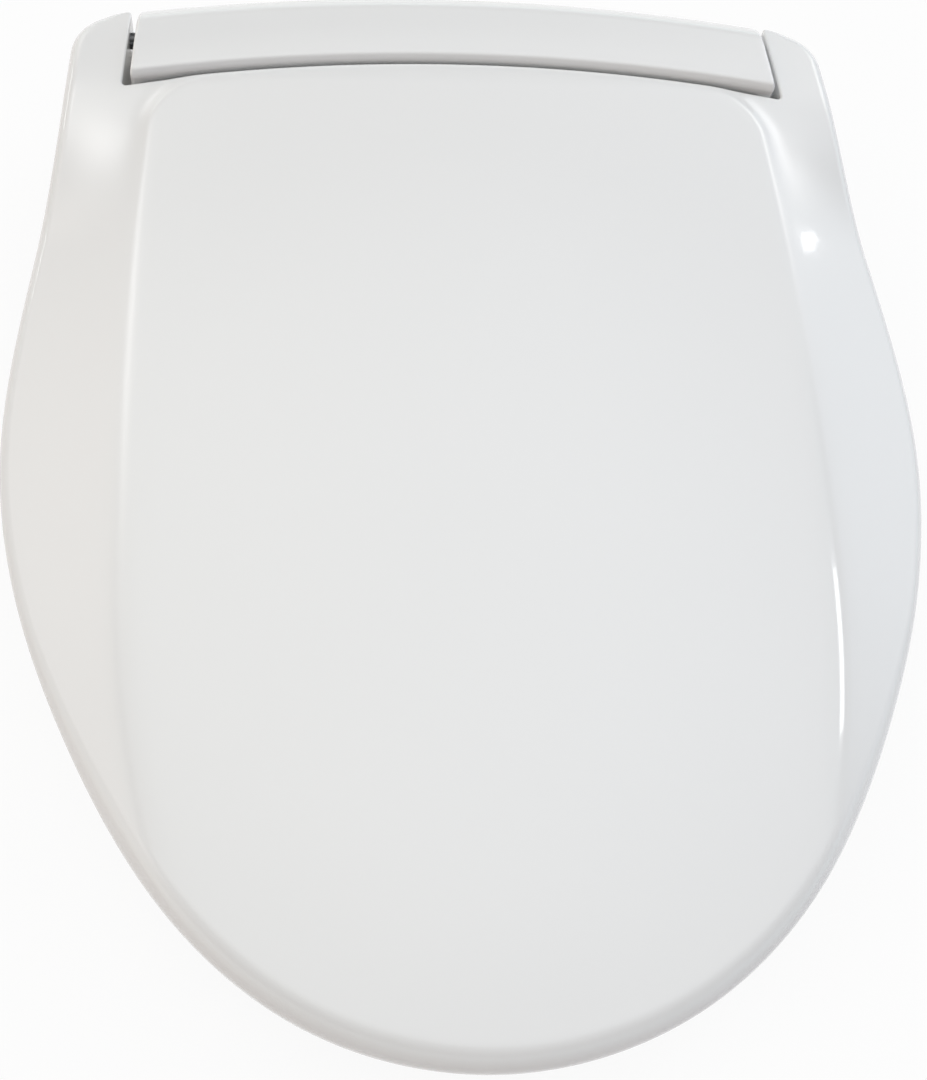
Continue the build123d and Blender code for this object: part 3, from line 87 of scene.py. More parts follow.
def lid_height(x, y):
    """Height of the outer face: a long crowned spine, less a slope, a cove and a roll past the panel's edge.

    The distance past the panel is that of a rounded rectangle whose sides draw in towards the rear. Its
    soft positive part gives the slope of the flank, a cubic that eases out gives the cove at the rear, and
    the square of the run past the roll's start turns the ears down to their ends."""
    run = y - tip_y
    share = run / panel_length
    spine = nose_z + rear_rise * share + long_crown * share * (1 - share) - cross_crown * (x / 145.0) ** 2
    behind_waist = np.maximum(run - waist_run, 0) / (panel_length - waist_run)
    before_waist = np.maximum(waist_run - run, 0) / nose_run
    side_edge = panel_half_x - rear_draw * behind_waist**2 - nose_draw * before_waist**2
    rear_edge = bowed(notch_radius, np.minimum(np.abs(x), 200.0)) - panel_setback
    across = np.abs(x) - side_edge + panel_corner
    behind = y - rear_edge + panel_corner
    outside = np.hypot(np.maximum(across, 0), np.maximum(behind, 0))
    beyond = outside + np.minimum(np.maximum(across, behind), 0) - panel_corner
    softness = 4.2 - 2.8 * ease(run, 150.0, 380.0)
    past = (beyond + np.sqrt(beyond**2 + softness**2)) / 2
    rearward = ease(run, 330.0, 405.0)
    slope = (flank_slope - slope_lost * rearward) * past
    cove = cove_depth * rearward * (1 - (1 - np.clip(past / cove_width, 0, 1)) ** 3)
    roll = roll_rate * np.maximum(run - roll_start, 0) ** 2 * np.clip(past / 8.0, 0, 1)
    return spine - slope - cove - roll


def clamped_curve(points, first, last, count):
    """Cubic through the points at chord-length parameters, leaving and arriving in the given directions.

    The slope at each point solves the usual three-term equations, and Hermite's form fills each run."""
    p = np.array(points, float)
    step = np.linalg.norm(np.diff(p, axis=0), axis=1)
    slope = np.diff(p, axis=0) / step[:, None]
    system = np.eye(len(p))
    inner = np.arange(1, len(p) - 1)
    system[inner, inner - 1] = step[1:]
    system[inner, inner] = 2 * (step[:-1] + step[1:])
    system[inner, inner + 1] = step[:-1]
    wanted = np.vstack([[first], 3 * (step[1:, None] * slope[:-1] + step[:-1, None] * slope[1:]), [last]])
    slopes = np.linalg.solve(system, wanted)
    knots = np.concatenate([[0], np.cumsum(step)])
    place = np.linspace(0, knots[-1], count)
    k = np.clip(np.searchsorted(knots, place, side="right") - 1, 0, len(p) - 2)
    u = ((place - knots[k]) / step[k])[:, None]
    h = step[k][:, None]
    start = (2 * u**3 - 3 * u**2 + 1) * p[k] + (u**3 - 2 * u**2 + u) * h * slopes[k]
    return start + (3 * u**2 - 2 * u**3) * p[k + 1] + (u**3 - u**2) * h * slopes[k + 1]


def rounded(a, corner, b, radius, count):
    """Arc that touches the runs from the corner to a and to b, as an even turn between its end radii."""
    corner = np.array(corner, float)
    to_a = (np.array(a) - corner) / np.linalg.norm(np.array(a) - corner)
    to_b = (np.array(b) - corner) / np.linalg.norm(np.array(b) - corner)
    half = np.arccos(to_a @ to_b) / 2
    centre = corner + (to_a + to_b) / np.linalg.norm(to_a + to_b) * radius / np.sin(half)
    start = corner + to_a * radius / np.tan(half) - centre
    end = corner + to_b * radius / np.tan(half) - centre
    sweep = np.pi - 2 * half
    turn = np.linspace(0, 1, count)[:, None]
    return centre + (np.sin((1 - turn) * sweep) * start + np.sin(turn * sweep) * end) / np.sin(sweep)


def lengths(path):
    """Length of a path up to each of its points."""
    return np.concatenate([[0], np.cumsum(np.linalg.norm(np.diff(path, axis=0), axis=1))])


def along(path, shares):
    """Points at the given shares of a path's length."""
    length = lengths(path)
    return np.stack([np.interp(shares * length[-1], length, path[:, k]) for k in range(path.shape[1])], 1)


def inward(path, side):
    """Unit normals of a plan path, to the left for side 1 and to the right for side -1."""
    ahead = np.gradient(path, axis=0)
    normal = side * np.stack([-ahead[:, 1], ahead[:, 0]], 1)
    return normal / np.linalg.norm(normal, axis=1)[:, None]


def grid_piece(name, points, material, sharp=40, wrap_rows=False, wrap_columns=True):
    """Object over a grid of points in millimetres, joined up where a direction wraps round."""
    rows, columns = points.shape[:2]
    index = np.arange(rows * columns).reshape(rows, columns)
    index = np.vstack([index, index[:1]]) if wrap_rows else index
    index = np.hstack([index, index[:, :1]]) if wrap_columns else index
    quads = np.stack([index[:-1, :-1], index[1:, :-1], index[1:, 1:], index[:-1, 1:]], -1).reshape(-1, 4)
    mesh = bpy.data.meshes.new(name)
    mesh.from_pydata((points.reshape(-1, 3) * 0.001).tolist(), [], quads.tolist())
    return finished(name, mesh, material, sharp)


def finished(name, mesh, material, sharp):
    """Makes the object: doubled points merged, slits closed, faces outwards, smooth up to the sharp angle."""
    work = bmesh.new()
    work.from_mesh(mesh)
    bmesh.ops.remove_doubles(work, verts=work.verts, dist=2e-6)
    bmesh.ops.dissolve_degenerate(work, edges=work.edges, dist=1e-7)
    bmesh.ops.holes_fill(work, edges=[edge for edge in work.edges if edge.is_boundary])
    bmesh.ops.recalc_face_normals(work, faces=work.faces)
    work.to_mesh(mesh)
    work.free()
    mesh.polygons.foreach_set("use_smooth", np.ones(len(mesh.polygons), bool))
    mesh.set_sharp_from_angle(angle=np.radians(sharp))
    mesh.materials.append(material)
    piece = bpy.data.objects.new(name, mesh)
    bpy.context.scene.collection.objects.link(piece)
    return piece


def lid_outline():
    """Right half of the outer edge from the nose to the ear's end, and of the rear edge to the same point.

    The outer edge is a cubic through chosen points, then an arc about the ear's corner. The rear edge is the
    notch's bow, then the slot's straight side. An arc rounds each end of that side."""
    ear_lean = 3.4
    ear_foot = (167.2, 0.0)
    ear_corner = (163.8, ear_end_y)
    slot_foot_x = 143.5
    slot_end = (139.89, ear_end_y)
    points = [(0, tip_y), (76, -385), (122.5, -345), (158.5, -285), (181, -225)]
    points += [(lid_half_x, -165), (180.2, -85), ear_foot]
    ear_ahead = np.array([-ear_lean, ear_end_y]) / np.hypot(ear_lean, ear_end_y)
    nose = clamped_curve(points, (1, 0), ear_ahead, 500)
    ear_round = rounded(ear_foot, ear_corner, (140, ear_end_y), 21.0, 60)
    end = rounded((150, ear_end_y), slot_end, (slot_foot_x, -3.7), 2.5, 21)
    x = np.linspace(0, 141.3, 240)
    notch = np.stack([x, bowed(notch_radius, x)], 1)
    slot = rounded(notch[-1], (slot_foot_x, -3.6), slot_end, 1.5, 15)
    return np.vstack([nose, ear_round, end[:11]]), np.vstack([notch, slot, end[:9:-1]])


def ribs_at(share):
    """Shares of an edge where the lid's ribs meet it: even steps up to the ear, then others by the slot."""
    return np.concatenate([np.linspace(0, share, 211), np.linspace(share, 1, 61)[1:]])


outer, rear = lid_outline()
outer_share = lengths(outer)[np.argmax(outer[:, 1] > -14)] / lengths(outer)[-1]
rear_share = lengths(rear)[np.argmax(rear[:, 1] < -3.2)] / lengths(rear)[-1]
outer = along(outer, ribs_at(outer_share))
rear = along(rear, ribs_at(rear_share))
outer_in = inward(outer, 1)
rear_in = inward(rear, -1)
outer_in[0] = (0, 1)
rear_in[0] = (0, -1)
reach = np.linalg.norm(outer - rear, axis=1)
edge_top = lid_height(*outer.T)
edge_round = np.interp(outer[:, 1] - tip_y, [0, 60, 170, 330, 420], [10.0, 9.0, 4.5, 4.5, 5.5])
edge_round = np.minimum(np.minimum(edge_round, 0.42 * reach), 0.75 * (edge_top - rim_z))
rear_round = np.minimum(1.2, 0.2 * reach)
# Along the notch the rear edge is a plain lip, and beside the slot it goes down to the rim as a wall.
closed_ear = ease(np.arange(len(rear)), 208, 216)


def lid_rings(path, normal, inset, height):
    """Rows of points at an inset from a plan path, at a height that may vary along it."""
    return np.concatenate([path + normal * np.reshape(inset, (-1, 1)), np.reshape(height, (-1, 1))], 1)


def lid_profile():
    """Rib through each place: outer wall, edge round, top, rear edge, then back along the inside.

    A round is a quarter turn whose cosine moves it in from the edge and whose sine drops it from the face.
    Between the two edges a spot is a share of the way, and takes the face's height, less the wall inside."""
    rings = []
    for turn in np.linspace(0, np.pi / 2, 4):
        height = np.full(len(outer), rim_z + rim_round - rim_round * np.cos(turn))
        rings.append(lid_rings(outer, outer_in, rim_round - rim_round * np.sin(turn), height))
    for turn in np.linspace(0, np.pi / 2, 10):
        spot = outer + outer_in * (edge_round * (1 - np.cos(turn)))[:, None]
        rings.append(np.column_stack([spot, lid_height(*spot.T) - edge_round * (1 - np.sin(turn))]))
    front_side = outer + outer_in * edge_round[:, None]
    rear_side = rear + rear_in * rear_round[:, None]
    for share in np.linspace(0, 1, 96)[1:-1] ** 1.3:
        spot = front_side + share * (rear_side - front_side)
        rings.append(np.column_stack([spot, lid_height(*spot.T)]))
    for turn in np.linspace(np.pi / 2, 0, 6):
        spot = rear + rear_in * (rear_round * (1 - np.cos(turn)))[:, None]
        rings.append(np.column_stack([spot, lid_height(*spot.T) - rear_round * (1 - np.sin(turn))]))
    rear_top = lid_height(*rear.T)
    depth = lid_wall + closed_ear * (rear_top - rim_z - lid_wall)
    inner_wall = np.minimum(closed_ear * 3.5, 0.3 * reach)
    outer_wall = np.minimum(lid_wall, 0.3 * reach)
    rings.append(lid_rings(rear, rear_in, 0 * depth, rear_top - depth))
    rings.append(lid_rings(rear, rear_in, inner_wall, rear_top - depth))
    rear_side = rear + rear_in * inner_wall[:, None]
    front_side = outer + outer_in * outer_wall[:, None]
    for share in np.linspace(1, 0, 40) ** 1.2:
        spot = front_side + share * (rear_side - front_side)
        rings.append(np.column_stack([spot, np.maximum(lid_height(*spot.T) - lid_wall, rim_z + 0.5)]))
    rings.append(lid_rings(outer, outer_in, outer_wall, np.full(len(outer), rim_z)))
    return np.stack(rings, 1)


right = lid_profile()
lid_points = np.concatenate([right[:0:-1] * np.array([-1, 1, 1]), right])


def plastic_grain():
    """Node group for moulded plastic: slow drifts of tone, a faint ripple, and marks from wiping.

    Takes a colour and a drift, and gives the drifted colour, a share for roughness, and a height."""
    group = bpy.data.node_groups.new("moulded_plastic", "ShaderNodeTree")
    sockets = group.interface
    sockets.new_socket("Colour", in_out="INPUT", socket_type="NodeSocketColor")
    sockets.new_socket("Drift", in_out="INPUT", socket_type="NodeSocketFloat")
    sockets.new_socket("Colour", in_out="OUTPUT", socket_type="NodeSocketColor")
    sockets.new_socket("Rub", in_out="OUTPUT", socket_type="NodeSocketFloat")
    sockets.new_socket("Ripple", in_out="OUTPUT", socket_type="NodeSocketFloat")
    nodes, links = group.nodes, group.links
    taken = nodes.new("NodeGroupInput")
    given = nodes.new("NodeGroupOutput")
    place = nodes.new("ShaderNodeTexCoord")
    slow = nodes.new("ShaderNodeTexNoise")
    slow.inputs["Scale"].default_value = 7.0
    slow.inputs["Detail"].default_value = 3.0
    fine = nodes.new("ShaderNodeTexNoise")
    fine.inputs["Scale"].default_value = 160.0
    fine.inputs["Detail"].default_value = 2.0
    rub = nodes.new("ShaderNodeTexNoise")
    rub.inputs["Scale"].default_value = 38.0
    rub.inputs["Detail"].default_value = 6.0
    rub.inputs["Distortion"].default_value = 1.2
    centred = nodes.new("ShaderNodeMath")
    centred.operation = "SUBTRACT"
    centred.inputs[1].default_value = 0.5
    scaled = nodes.new("ShaderNodeMath")
    scaled.operation = "MULTIPLY_ADD"
    scaled.inputs[2].default_value = 1.0
    shade = nodes.new("ShaderNodeVectorMath")
    shade.operation = "SCALE"
    for texture in (slow, fine, rub):
        links.new(place.outputs["Object"], texture.inputs["Vector"])
    links.new(slow.outputs["Fac"], centred.inputs[0])
    links.new(centred.outputs[0], scaled.inputs[0])
    links.new(taken.outputs["Drift"], scaled.inputs[1])
    links.new(taken.outputs["Colour"], shade.inputs[0])
    links.new(scaled.outputs[0], shade.inputs["Scale"])
    links.new(shade.outputs[0], given.inputs["Colour"])
    links.new(rub.outputs["Fac"], given.inputs["Rub"])
    links.new(fine.outputs["Fac"], given.inputs["Ripple"])
    return group


grain = plastic_grain()


def plastic(name, colour, gloss, rub=0.04, ripple=0.02, drift=0.03, coat=0.0, metallic=0.0):
    """Material from the grain group: gloss is the mean roughness, rub its spread, ripple the bump's share."""
    material = bpy.data.materials.new(name)
    material.use_nodes = True
    nodes, links = material.node_tree.nodes, material.node_tree.links
    surface = nodes["Principled BSDF"]
    surface.inputs["Metallic"].default_value = metallic
    surface.inputs["IOR"].default_value = 1.5
    surface.inputs["Coat Weight"].default_value = coat
    surface.inputs["Coat Roughness"].default_value = 0.03
    effect = nodes.new("ShaderNodeGroup")
    effect.node_tree = grain
    effect.inputs["Colour"].default_value = (*colour, 1)
    effect.inputs["Drift"].default_value = drift
    spread = nodes.new("ShaderNodeMapRange")
    spread.inputs["To Min"].default_value = max(gloss - rub, 0.02)
    spread.inputs["To Max"].default_value = gloss + rub
    bump = nodes.new("ShaderNodeBump")
    bump.inputs["Strength"].default_value = ripple
    bump.inputs["Distance"].default_value = 0.0004
    links.new(effect.outputs["Colour"], surface.inputs["Base Color"])
    links.new(effect.outputs["Rub"], spread.inputs["Value"])
    links.new(spread.outputs["Result"], surface.inputs["Roughness"])
    links.new(effect.outputs["Ripple"], bump.inputs["Height"])
    links.new(bump.outputs["Normal"], surface.inputs["Normal"])
    return material


lid_white = plastic("lid_gloss_white", (0.80, 0.80, 0.80), 0.10, coat=0.6)
lid_shell = grid_piece("lid_shell", lid_points, lid_white)
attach(lid_shell, "lid")
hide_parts("lid")

# Four short posts inside the lid, moulded with it, each with a socket for the rubber foot that meets the
# seat ring. They taper a little, so that they leave the mould, and run out into the lid's skin in a cove.
post_spots = np.array([(70.0, -368.0, 40.4), (125.0, -215.0, 44.4)])
post_spots = np.concatenate([post_spots, post_spots * np.array([-1, 1, 1])])


def turned(profile, count=48):
    """Surface of revolution about Z: each (radius, height) of the profile swept round a full circle."""
    angle = np.linspace(0, 2 * np.pi, count, endpoint=False)
    radius, height = np.array(profile, float).T
    ring = np.stack([np.outer(radius, np.cos(angle)), np.outer(radius, np.sin(angle))], -1)
    return np.concatenate([ring, np.repeat(height[:, None, None], count, 1)], -1)


def post(x, y, low):
    """One post: a profile turned about its axis, from the foot's socket up the wall and out into the skin."""
    high = lid_height(x, y) - lid_wall + 0.6
    socket = [(0, low + 1.5), (5.05, low + 1.5), (5.05, low)]
    wall = [(6.2, low), (6.5, low + 0.4), (6.9, high - 2.5)]
    cove = [(7.4, high - 1), (9.0, high), (0, high)]
    return turned(socket + wall + cove) + np.array([x, y, 0])


for number, (x, y, low) in enumerate(post_spots):
    lid_post = grid_piece(f"lid_post_{number + 1}", post(x, y, low), lid_white)
    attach(lid_post, "lid")

# The bar and the upper cover are one white moulding: the bar stands between the lid's ears with both of
# its long edges bowed to the rear, and a flat deck runs forward from it, under the lid.
bar_rear_y = 48.0
bar_front_y = 10.7
bar_top_z = 76.5
bar_low_z = 62.0
bar_half_x = 140.2
bar_front_round = 3.5
bar_rear_round = 12.0
bar_end_round = 1.4
bar_fall = 0.003
slot_draft = 0.0909


def bar_section(inset):
    """Upright section of the bar, front edge to rear edge, with a round at each top corner.

    Behind the front round the top falls by the square of the distance, and the inset follows the normal."""
    front_top = (bar_front_y, bar_top_z)
    rear_top = (bar_rear_y, bar_top_z)
    front = rounded((bar_front_y, bar_low_z), front_top, rear_top, bar_front_round, 15)
    back = rounded(front_top, rear_top, (bar_rear_y, bar_low_z), bar_rear_round, 21)
    low = np.linspace(bar_low_z, front[0, 1], 5)[:-1]
    top = np.linspace(front[-1, 0], back[0, 0], 9)[1:-1]
    down = np.linspace(back[-1, 1], bar_low_z, 4)[1:]
    section = np.vstack([
        np.column_stack([np.full(4, bar_front_y), low]),
        front,
        np.column_stack([top, np.full(7, bar_top_z)]),
        back,
        np.column_stack([np.full(3, bar_rear_y), down]),
    ])
    upper = (section[:, 1] - bar_low_z) / (bar_top_z - bar_low_z)
    section[:, 1] -= bar_fall * upper * np.maximum(section[:, 0] - bar_front_y - bar_front_round, 0) ** 2
    ahead = np.gradient(section, axis=0)
    normal = np.stack([ahead[:, 1], -ahead[:, 0]], 1) / np.linalg.norm(ahead, axis=1)[:, None]
    return section + normal * inset


def bar_station(share, inset, back):
    """The section carried to a share of the bar's half length, drawn in, and set back from the end."""
    section = bar_section(inset)
    half = bar_half_x - slot_draft * (section[:, 0] - 7.5)
    x = share * (half - back)
    return np.stack([x, bowed(section[:, 0] - bow_centre_y, x), section[:, 1]], 1)


def bar_end(side):
    """Stations that round off one end by a quarter turn, and a last one drawn together to a point."""
    rows = []
    for turn in np.linspace(0, np.pi / 2, 7)[1:]:
        rows.append(bar_station(side, bar_end_round * (1 - np.cos(turn)), bar_end_round * (1 - np.sin(turn))))
    return rows + [rows[-1].mean(0) * np.ones_like(rows[-1])]


bar_rows = [bar_station(share, 0.0, bar_end_round) for share in np.linspace(-1, 1, 121)]
bar_points = np.stack([*bar_end(-1)[::-1], *bar_rows, *bar_end(1)])
body_white = plastic("body_gloss_white", (0.80, 0.80, 0.80), 0.09, coat=0.6)
rear_bar = grid_piece("rear_bar", bar_points, body_white, sharp=60)
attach(rear_bar, "base")
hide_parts("top_cover")

cover_half_x = 134.5
cover_front_y = -45.0
cover_low_z = 38.0
cover_corner = 12.0
cover_round = 4.0
cover_wall = 2.5


def cover_plan():
    """Outline of the cover below the bar: a bowed rear, then straight sides and front with round corners."""
    x = np.linspace(cover_half_x, -cover_half_x, 61)
    back = np.stack([x, bowed(bar_rear_y - bow_centre_y, x)], 1)
    side_y = np.linspace(back[-1, 1], -30, 11)[1:-1]
    left = np.column_stack([np.full(9, -cover_half_x), side_y])
    right = np.column_stack([np.full(9, cover_half_x), side_y[::-1]])
    front = np.column_stack([np.linspace(-118, 118, 31), np.full(31, cover_front_y)])
    left_corner = (-cover_half_x, cover_front_y)
    right_corner = (cover_half_x, cover_front_y)
    front_left = rounded((-cover_half_x, 30), left_corner, (0, cover_front_y), cover_corner, 15)
    front_right = rounded((0, cover_front_y), right_corner, (cover_half_x, 30), cover_corner, 15)
    return np.vstack([back, left, front_left, front, front_right, right])


def cover_skin(inset):
    """Face of the cover at a depth below the outer one: up the wall, round the top edge, in over the deck."""
    plan = cover_plan()
    closed = np.vstack([plan[-1], plan, plan[0]])
    ahead = closed[2:] - closed[:-2]
    normal = np.stack([-ahead[:, 1], ahead[:, 0]], 1) / np.linalg.norm(ahead, axis=1)[:, None]
    radius = cover_round - inset
    steps = [(inset, z) for z in (cover_low_z, 45.0, 54.0)]
    for turn in np.linspace(0, np.pi / 2, 9):
        steps.append((cover_round - radius * np.cos(turn), bar_low_z + radius * np.sin(turn)))
    rows = [np.column_stack([plan + normal * step, np.full(len(plan), z)]) for step, z in steps]
    rows += [rows[-1] * np.array([1 - share, 1 - share, 1]) for share in (0.3, 0.6, 1.0)]
    return rows


cover_points = np.stack(cover_skin(cover_wall)[::-1] + cover_skin(0))
cover_deck = grid_piece("cover_deck", cover_points, body_white, sharp=50)
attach(cover_deck, "base")
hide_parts("top_cover")

# The seat ring is a moulding of the same white plastic, softer in gloss and open below, with a dished top
# that rises to the rear. An arm on each side runs back to a knuckle on the hinge line.
seat_white = plastic("seat_satin_white", (0.80, 0.80, 0.79), 0.16, rub=0.05)
seat_middle = np.array([0.0, -225.0])
seat_rear_y = -47.0
seat_setback = 4.0
seat_wall = 3.0
seat_low_z = 12.0
rear_lift = 26.5
opening_y = -232.0
opening_half_x = 100.0
opening_front = 118.0
opening_rear = 102.0


def seat_top(y):
    """Height of the ring's crest: the cubic through four heights along its length."""
    return np.polyval(np.polyfit([-425.0, -230.0, -126.0, -27.0], [36.0, 39.5, 46.0, 51.0], 3), y)


def seat_edges(count):
    """Inner and outer edge at evenly turned rays from the ring's middle.

    The outer edge is the lid's, set back, with a straight rear, and is met by interpolating its distance
    over its bearing. The inner edge is an ellipse, longer before its centre than behind it."""
    angle = np.linspace(-np.pi / 2, 1.5 * np.pi, count, endpoint=False)
    half_outer, _ = lid_outline()
    edge = half_outer + inward(half_outer, 1) * seat_setback
    edge = edge[edge[:, 1] < seat_rear_y - 10.0]
    corner = rounded(edge[-1], (edge[-1, 0] - 1.2, seat_rear_y), (0, seat_rear_y), 9.0, 25)
    line = np.column_stack([np.linspace(corner[-1, 0], 0, 60), np.full(60, seat_rear_y)])
    half = np.vstack([edge, corner, line])
    full = np.vstack([half, half[-2:0:-1] * np.array([-1, 1])])
    bearing = np.unwrap(np.arctan2(*(full - seat_middle).T[::-1]))
    distance = np.linalg.norm(full - seat_middle, axis=1)
    turned_by = (angle - bearing[0]) % (2 * np.pi)
    full_turn = np.append(bearing - bearing[0], 2 * np.pi)
    edge_reach = np.interp(turned_by, full_turn, np.append(distance, distance[0]))
    ray = np.stack([np.cos(angle), np.sin(angle)], 1)
    rear_part = ease(ray[:, 1], -0.02, 0.02)
    half_y = opening_front + (opening_rear - opening_front) * rear_part
    inner = np.stack([opening_half_x * np.cos(angle), opening_y + half_y * np.sin(angle)], 1)
    return inner, seat_middle + ray * edge_reach[:, None]


def seat_rows(count=420):
    """Rib through each ray: outer wall, outer round, dished top, inner round, inner wall, and back inside.

    A row lies at an inset along the ray, at the crest's height less a drop: a quarter turn in each round,
    and a squared sine in the dish between them. The walls end higher at the rear, over the body."""
    inner, outer_edge = seat_edges(count)
    across = inner - outer_edge
    width = np.linalg.norm(across, axis=1)[:, None]
    unit = across / width
    outer_low = seat_low_z + rear_lift * ease(outer_edge[:, 1], -152.0, -124.0)
    inner_low = seat_low_z + rear_lift * ease(inner[:, 1], -152.0, -124.0)
    rows = []

    def row(inset, drop, base=None):
        """Adds one row, at its own base height where that is given."""
        spot = outer_edge + unit * inset
        height = seat_top(spot[:, 1]) - drop if base is None else base
        rows.append(np.column_stack([spot, height]))

    round_out = 9.0
    round_in = 12.0
    dish = 2.2
    row(0 * width, 0, outer_low)
    for turn in np.linspace(0, np.pi / 2, 12):
        row(round_out * (1 - np.cos(turn)), round_out * (1 - np.sin(turn)))
    for share in np.linspace(0, 1, 26)[1:-1]:
        row(round_out + share * (width - round_out - round_in), dish * np.sin(np.pi * share) ** 2)
    for turn in np.linspace(np.pi / 2, 0, 14):
        row(width - round_in * (1 - np.cos(turn)), round_in * (1 - np.sin(turn)))
    row(width, 0, inner_low)
    row(width - seat_wall, 0, inner_low)
    row(width - seat_wall, 15.0)
    row(0 * width + seat_wall, 12.0)
    row(0 * width + seat_wall, 0, outer_low)
    return np.stack(rows, 1)


seat_ring = grid_piece("seat_ring", seat_rows(), seat_white, wrap_rows=True)
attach(seat_ring, "seat")
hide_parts("seat_upper_shell")


def arm_rows(side):
    """Hinge arm as rounded-box sections along its length, ending in the round of its knuckle.

    A section is a superellipse, the cosine and sine to a small power, between a low and a high X and Z."""
    knuckle_y, knuckle_z, knuckle_radius = 25.0, 62.5, 5.5
    inner_x, outer_x = 149.4, 153.3
    y = np.array([-49.0, -44.0, -36.0, -26.0, -18.0, -8.0, 2.0, 12.0, 19.5, knuckle_y])
    low_x = np.interp(y, [-49, -18, 25], [143.0, inner_x, inner_x])
    high_x = np.interp(y, [-49, -18, 25], [167.0, outer_x, outer_x])
    low_z = np.interp(y, [-49, -45, 2, 19.5, 25], [38.6, 38.6, 59.5, 59.5, 57.0])
    high_z = np.interp(y, [-49, 2, 25], [47.5, 68.0, 68.0])
    turn = np.linspace(0, np.pi / 2, 9)[1:]
    y = np.append(y, knuckle_y + knuckle_radius * np.sin(turn))
    low_x = np.append(low_x, np.full(8, inner_x))
    high_x = np.append(high_x, np.full(8, outer_x))
    low_z = np.append(low_z, knuckle_z - knuckle_radius * np.cos(turn))
    high_z = np.append(high_z, knuckle_z + knuckle_radius * np.cos(turn))
    angle = np.linspace(0, 2 * np.pi, 40, endpoint=False)
    c = np.sign(np.cos(angle)) * np.abs(np.cos(angle)) ** 0.3
    s = np.sign(np.sin(angle)) * np.abs(np.sin(angle)) ** 0.3
    x = (low_x + high_x)[:, None] / 2 + (high_x - low_x)[:, None] / 2 * c
    z = (low_z + high_z)[:, None] / 2 + (high_z - low_z)[:, None] / 2 * s
    rows = np.stack([side * x, np.repeat(y[:, None], 40, 1), z], -1)
    first = np.repeat(rows[:1].mean(1, keepdims=True), 40, 1)
    return np.concatenate([first, rows])


for side, name in ((-1, "left"), (1, "right")):
    seat_arm = grid_piece(f"seat_arm_{name}", arm_rows(side), seat_white, sharp=50)
    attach(seat_arm, "seat")
    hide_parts("seat_upper_shell")

# The floor of the seat ring is a second moulding, clipped up inside the walls of the first, in satin white.
# Between the two a foil with a heating wire is stuck to the underside of the ring's top.


def dress(node, material):
    """Puts a material on every slot of a CAD node's own object."""
    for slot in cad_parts[node].material_slots:
        slot.material = material


under_white = plastic("under_satin_white", (0.70, 0.70, 0.69), 0.38, rub=0.08, ripple=0.12)
foil = plastic("heater_foil", (0.75, 0.75, 0.76), 0.30, rub=0.12, ripple=0.5, metallic=1.0)
dress("seat_lower_shell", under_white)
dress("seat_heater", foil)

# Grey rubber bumpers: four long ones under the seat ring carry it on the bowl's rim, and four round ones
# are pressed into the lid's posts. The body stands on four flat pads of the same rubber.
soft_grey = plastic("soft_grey_rubber", (0.40, 0.40, 0.41), 0.62, rub=0.1, ripple=0.3, drift=0.12)


def pad(length_x, length_y, corner, low, high, edge, middle):
    """Rounded slab: a rounded-rectangle plan drawn in by a quarter round at its foot, then up to its top."""
    a = length_x / 2
    b = length_y / 2
    corners = []
    for sx, sy in ((1, 1), (-1, 1), (-1, -1), (1, -1)):
        ends = [(sx * a, 0), (0, sy * b)]
        first, last = ends if sx * sy > 0 else ends[::-1]
        corners.append(rounded(first, (sx * a, sy * b), last, corner, 9))
    plan = np.vstack(corners)
    turn = np.linspace(0, np.pi / 2, 7)
    inset = np.concatenate([edge * (1 - np.sin(turn)), [0.0, 0.0]])
    height = np.concatenate([low + edge * (1 - np.cos(turn)), [(low + high) / 2, high]])
    share = 1 - inset[:, None, None] / np.array([a, b])
    rows = np.concatenate([plan[None] * share, np.repeat(height[:, None, None], len(plan), 1)], -1)
    foot = np.repeat([[[0, 0, low]]], len(plan), 1)
    head = np.repeat([[[0, 0, high]]], len(plan), 1)
    return np.concatenate([foot, rows, head]) + np.array([*middle, 0])


bumper_spots = [(62.0, -366.0), (145.0, -215.0), (-62.0, -366.0), (-145.0, -215.0)]
for number, spot in enumerate(bumper_spots):
    block = pad(length_x=12.0, length_y=26.0, corner=4.0, low=0.0, high=12.0, edge=2.0, middle=spot)
    bumper = grid_piece(f"seat_bumper_{number + 1}", block, soft_grey)
    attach(bumper, "seat")
    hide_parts("seat_bumpers")

for number, (x, y, low) in enumerate(post_spots):
    foot = low - 3.0
    profile = [(0, foot), (3.8, foot), (4.5, foot + 0.25), (5, foot + 1.0), (5, foot + 4.5), (0, foot + 4.5)]
    lid_bumper = grid_piece(f"lid_bumper_{number + 1}", turned(profile) + np.array([x, y, 0]), soft_grey)
    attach(lid_bumper, "lid")
    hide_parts("lid_bumpers")

pad_spots = [(119.0, 4.0), (96.0, -90.0), (-119.0, 4.0), (-96.0, -90.0)]
for number, spot in enumerate(pad_spots):
    slab = pad(length_x=12.0, length_y=22.0, corner=3.0, low=0.0, high=2.0, edge=0.5, middle=spot)
    base_pad = grid_piece(f"base_pad_{number + 1}", slab, soft_grey)
    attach(base_pad, "base")
    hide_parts("base_pads")

# The lower case is a deep tray in satin white, with a sloped snout over the nozzles and a pocket below for
# the bracket. Four screws come up through it into the cover.
dress("lower_case", under_white)
screw_steel = plastic("screw_steel", (0.60, 0.60, 0.61), 0.32, rub=0.08, ripple=0.06, metallic=1.0)
dress("case_screws", screw_steel)

# The bracket stays bolted to the bowl: a grey moulding in glass-filled plastic, with two bolt slots and two
# rails. The body slides on to it from the front and is held there by the latch.
bracket_grey = plastic("bracket_grey", (0.42, 0.43, 0.44), 0.5, rub=0.1, ripple=0.35, drift=0.08)
dress("mounting_bracket", bracket_grey)

